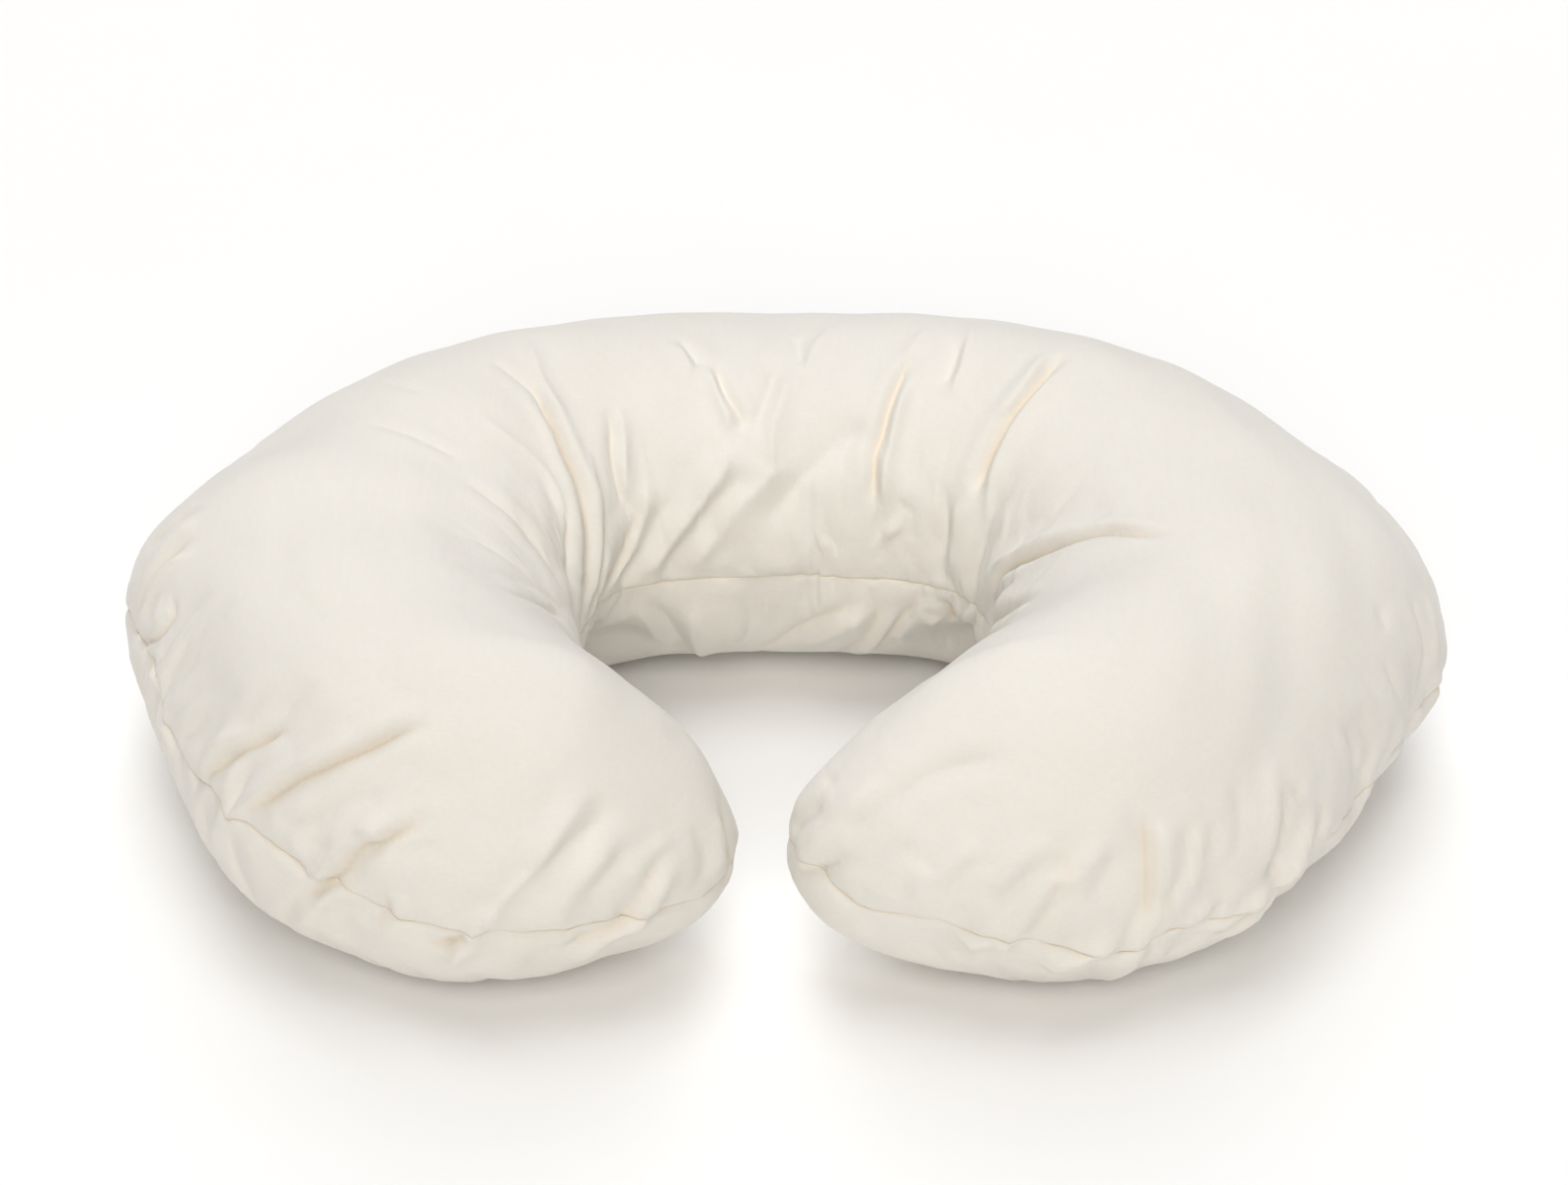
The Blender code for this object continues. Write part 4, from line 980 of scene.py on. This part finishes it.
def tape(name, side):
    """Woven strip with a corded inner edge and a thinner selvedge."""
    section = [(-0.00030, 0.0110), (0.00020, 0.0111), (0.00030, 0.0109), (0.00024, 0.0080), (0.00024, 0.0046),
               (0.00040, 0.0040), (0.00046, 0.0035), (0.00030, 0.00308), (-0.00010, 0.00302), (-0.00030, 0.0033),
               (-0.00030, 0.0046), (-0.00026, 0.0080)]
    degs = np.linspace(-29.0, 29.0, 700)
    ring = []
    for dr, dz in section:
        ripple = 0.00004 * np.sin(np.arange(700) * math.pi / 2) * (1 if dr > 0 else 0)
        ring.append(around(degs, ARC_R - 0.0031 + dr + ripple, ZIP_Z + side * dz))
    g = np.stack(ring, 1)
    n, m = g.shape[:2]
    faces = []
    for i in range(n - 1):
        for j in range(m):
            a, b = i * m + j, i * m + (j + 1) % m
            faces.append((a, b, b + m, a + m) if side > 0 else (a, a + m, b + m, b))
    ends = [tuple(range(m)), tuple((n - 1) * m + j for j in range(m))]
    faces += [ends[0][::-1], ends[1]] if side > 0 else [ends[0], ends[1][::-1]]
    mesh = bpy.data.meshes.new(name)
    mesh.from_pydata([tuple(v) for v in g.reshape(-1, 3)], [], faces)
    bm = bmesh.new()
    bm.from_mesh(mesh)
    bmesh.ops.recalc_face_normals(bm, faces=bm.faces)
    bm.to_mesh(mesh)
    bm.free()
    mesh.materials.append(tape_cloth)
    mesh.shade_smooth()
    obj = bpy.data.objects.new(name, mesh)
    bpy.context.scene.collection.objects.link(obj)
    return rides(obj, "pillow", ["zip_tape_" + ("upper" if side > 0 else "lower")])


def coil(name, side):
    turns, per = 246, 12
    k = np.arange(turns * per + 1)
    degs = -28.35 + 56.7 * k / (turns * per)
    a = 2 * math.pi * k / per + (0 if side > 0 else math.pi)
    flat_in = np.sign(np.sin(a)) * np.abs(np.sin(a)) ** 0.8
    z = ZIP_Z + side * 0.0017 + 0.00093 * flat_in
    r = ARC_R - 0.0020 + 0.00062 * np.cos(a)
    line = np.stack([r * np.sin(np.radians(degs)), ARC_Y + r * np.cos(np.radians(degs)), z], 1)
    obj = tubes(name, [line], 0.00031, 6, nylon)
    return rides(obj, "pillow", ["zip_coil_" + ("upper" if side > 0 else "lower")])


for side, word in ((1, "upper"), (-1, "lower")):
    tape("tape_" + word, side)
    coil("coil_" + word, side)

SLIDER_DEG = 26.6


def arc_frame(deg):
    return Matrix.Translation((0.0, ARC_Y, ZIP_Z)) @ Matrix.Rotation(-math.radians(deg), 4, "Z")


def plate(bm, outline, y0, y1, crown=0.0):
    """A flat piece: outline in X and Z, thick in Y."""
    lo = [bm.verts.new((x, y0, z)) for x, z in outline]
    hi = [bm.verts.new((x, y1, z)) for x, z in outline]
    n = len(outline)
    faces = [bm.faces.new(lo), bm.faces.new(hi[::-1])]
    for k in range(n):
        faces.append(bm.faces.new((lo[k], hi[k], hi[(k + 1) % n], lo[(k + 1) % n])))
    return faces


def rounded(points, radius, steps=5):
    out, n = [], len(points)
    for k in range(n):
        p, a, b = (np.array(points[(k + d) % n], float) for d in (0, -1, 1))
        u, v = (a - p) / np.linalg.norm(a - p), (b - p) / np.linalg.norm(b - p)
        r = min(radius, 0.45 * np.linalg.norm(a - p), 0.45 * np.linalg.norm(b - p))
        for t in np.linspace(0, 1, steps):
            out.append(tuple(p + u * r * (1 - t) ** 2 + v * r * t**2))
    return out


def finished(name, bm, mat, bevel, body, nodes, matrix):
    bmesh.ops.recalc_face_normals(bm, faces=bm.faces)
    mesh = bpy.data.meshes.new(name)
    bm.to_mesh(mesh)
    bm.free()
    mesh.materials.append(mat)
    obj = bpy.data.objects.new(name, mesh)
    bpy.context.scene.collection.objects.link(obj)
    obj.matrix_world = matrix
    soft = obj.modifiers.new("edges", "BEVEL")
    soft.width, soft.segments, soft.limit_method = bevel, 3, "ANGLE"
    soft.angle_limit = math.radians(35)
    mesh.shade_smooth()
    mesh.set_sharp_from_angle(angle=math.radians(50))
    return rides(obj, body, nodes)


R = ARC_R
bm = bmesh.new()
shield = rounded([(-0.0047, -0.0030), (-0.0047, 0.0030), (-0.0010, 0.0044), (0.0036, 0.0044), (0.0047, 0.0016),
                  (0.0047, -0.0016), (0.0036, -0.0044), (-0.0010, -0.0044)], 0.0009)
plate(bm, shield, R - 0.0006, R + 0.0006)
plate(bm, [(x * 0.91, z) for x, z in shield], R - 0.0051, R - 0.0039)
plate(bm, rounded([(-0.0028, -0.00032), (-0.0028, 0.00032), (0.0030, 0.00035), (0.0030, -0.00035)], 0.0002, 3),
      R - 0.0040, R - 0.0005)
for z in (0.0026, -0.0026):
    ear = rounded([(-0.0011, R + 0.0003), (-0.0011, R + 0.0030), (-0.0004, R + 0.0035), (0.0004, R + 0.0035),
                   (0.0011, R + 0.0030), (0.0011, R + 0.0003)], 0.0005)
    lo = [bm.verts.new((x, y, z - 0.0005)) for x, y in ear]
    hi = [bm.verts.new((x, y, z + 0.0005)) for x, y in ear]
    bm.faces.new(lo)
    bm.faces.new(hi[::-1])
    for k in range(len(ear)):
        bm.faces.new((lo[k], hi[k], hi[(k + 1) % len(ear)], lo[(k + 1) % len(ear)]))
bmesh.ops.create_cone(bm, cap_ends=True, segments=20, radius1=0.0005, radius2=0.0005, depth=0.0056,
                      matrix=Matrix.Translation((0.0, R + 0.0026, 0.0)))
finished("slider_body", bm, nickel, 0.00014, "slider", ["zip_slider"], arc_frame(SLIDER_DEG))

bm = bmesh.new()
grip = rounded([(-0.0006, 0.0014), (-0.0035, 0.0016), (-0.0065, 0.0026), (-0.0190, 0.0034), (-0.0212, 0.0026),
                (-0.0220, 0.0010), (-0.0220, -0.0010), (-0.0212, -0.0026), (-0.0190, -0.0034), (-0.0065, -0.0026),
                (-0.0035, -0.0016), (-0.0006, -0.0014)], 0.0016)
grip = [(x, z) for x, z in grip if x < -0.00125] 
faces = plate(bm, grip, -0.00045, 0.00045)
for face in faces[:2]:
    rimmed = bmesh.ops.inset_region(bm, faces=[face], thickness=0.0008, depth=0.0)
    bmesh.ops.translate(bm, verts=list(face.verts), vec=(0, 0.00016 if face is faces[0] else -0.00016, 0))
ring_in, ring_out = 0.00088, 0.0015
loops = []
for radius, z in ((ring_in, -0.0016), (ring_out, -0.0016), (ring_out, 0.0016), (ring_in, 0.0016)):
    loops.append([bm.verts.new((radius * math.cos(2 * math.pi * k / 32), radius * math.sin(2 * math.pi * k / 32), z))
                  for k in range(32)])
for n in range(4):
    for k in range(32):
        bm.faces.new((loops[n][k], loops[(n + 1) % 4][k], loops[(n + 1) % 4][(k + 1) % 32], loops[n][(k + 1) % 32]))
finished("pull_tab", bm, nickel, 0.00012, "pull", ["zip_pull"],
         arc_frame(SLIDER_DEG) @ Matrix.Translation((0.0, R + 0.0026, 0.0)))
for name in ("zip_bottom_stop", "zip_top_stop_upper", "zip_top_stop_lower"):
    slots = frame["nodes"][name].material_slots
    for k in range(len(slots)):
        slots[k].material = nickel

# ------------------------------------------------------------------ care label
hinge = joints["label_fold"]
at, ax = Vector(hinge["pos_m"]), Vector(hinge["axis"]).normalized()
away = Vector((0, 0, 1)).cross(ax)
if away.dot(at) < 0:
    away = -away
wide, drop = 0.024, 0.034
nx, nz = 24, 34
pts = np.zeros((nx + 1, nz + 1, 3))
for i in range(nx + 1):
    for j in range(nz + 1):
        x, z = (i / nx - 0.5) * wide, -j / nz * drop
        t = j / nz
        y = 0.0016 * t**2 + 0.0006 * t * math.sin(3.0 * x / wide + 1.2) + 0.0005 * t**3 * math.cos(9 * x / wide)
        pts[i, j] = at + ax * x + away * y + Vector((0, 0, 1)) * (z + 0.0007 * t**2)
verts, faces = [], []
across = np.array(away)
for layer in (0.00022, -0.00022):
    for i in range(nx + 1):
        for j in range(nz + 1):
            edge = min(i, nx - i, nz - j, 1)
            verts.append(tuple(pts[i, j] + across * layer * (1.0 if edge else 0.55)))
count = (nx + 1) * (nz + 1)
for i in range(nx):
    for j in range(nz):
        a = i * (nz + 1) + j
        q = (a, a + 1, a + nz + 2, a + nz + 1)
        faces += [q, tuple(v + count for v in q[::-1])]
border = ([(i, 0) for i in range(nx)] + [(nx, j) for j in range(nz)] + [(i, nz) for i in range(nx, 0, -1)]
          + [(0, j) for j in range(nz, 0, -1)])
for k in range(len(border)):
    a, b = (border[m % len(border)][0] * (nz + 1) + border[m % len(border)][1] for m in (k, k + 1))
    faces.append((a, b, b + count, a + count))
mesh = bpy.data.meshes.new("label")
mesh.from_pydata(verts, [], faces)
bm = bmesh.new()
bm.from_mesh(mesh)
bmesh.ops.recalc_face_normals(bm, faces=bm.faces)
bm.to_mesh(mesh)
bm.free()
mesh.materials.append(label_cloth)
mesh.shade_smooth()
label = bpy.data.objects.new("label", mesh)
bpy.context.scene.collection.objects.link(label)
rides(label, "label", ["care_label"])

# ------------------------------------------------------------------ floor, light, camera
floor_mesh = bpy.data.meshes.new("floor")
bm = bmesh.new()
bmesh.ops.create_grid(bm, x_segments=1, y_segments=1, size=6.0)
bm.to_mesh(floor_mesh); bm.free()
floor = bpy.data.objects.new("floor", floor_mesh)
floor.location.z = -0.0004
bpy.context.scene.collection.objects.link(floor)
floor_white, tree, out = shader("floor_white")
tree.links.new(ramp(tree, noise(tree, place(tree), 3.0), [(0.3, (0.915, 0.912, 0.905)), (0.7, (0.925, 0.922, 0.915))]),
               out.inputs["Base Color"])
out.inputs["Roughness"].default_value = 0.9
out.inputs["Specular IOR Level"].default_value = 0.1
floor_mesh.materials.append(floor_white)

world = bpy.data.worlds.new("studio")
bpy.context.scene.world = world
world.use_nodes = True
world.node_tree.nodes["Background"].inputs["Color"].default_value = (1, 1, 1, 1)
world.node_tree.nodes["Background"].inputs["Strength"].default_value = 0.12

for name, aim, power, spread, tint in (("front", (0.02, 0.766, -0.643), 1.66, 40, (1.0, 0.962, 0.908)),
                                       ("overhead", (0.02, 0.0, -1.0), 1.22, 40, (0.99, 1.0, 1.025)),
                                       ("behind", (0.02, -0.643, -0.766), 1.02, 44, (0.985, 1.0, 1.03))):
    lamp = bpy.data.lights.new(name, "SUN")
    lamp.energy, lamp.angle, lamp.color = power, math.radians(spread), tint
    lamp_obj = bpy.data.objects.new(name, lamp)
    lamp_obj.rotation_euler = Vector(aim).to_track_quat("-Z", "Y").to_euler()
    bpy.context.scene.collection.objects.link(lamp_obj)

CAM_ELEV, CAM_DIST, CAM_AIM = math.radians(35.4), 2.0, Vector((0.0011, 0.0186, 0.08))
cam = bpy.data.cameras.new("camera")
cam.lens, cam.sensor_width, cam.sensor_fit = 97.9, 36.0, "HORIZONTAL"
cam_obj = bpy.data.objects.new("camera", cam)
forward = Vector((0.0, math.cos(CAM_ELEV), -math.sin(CAM_ELEV)))
cam_obj.location = CAM_AIM - forward * CAM_DIST
cam_obj.rotation_euler = forward.to_track_quat("-Z", "Y").to_euler()
bpy.context.scene.collection.objects.link(cam_obj)
bpy.context.scene.camera = cam_obj
bpy.context.scene.view_settings.view_transform = "Standard"
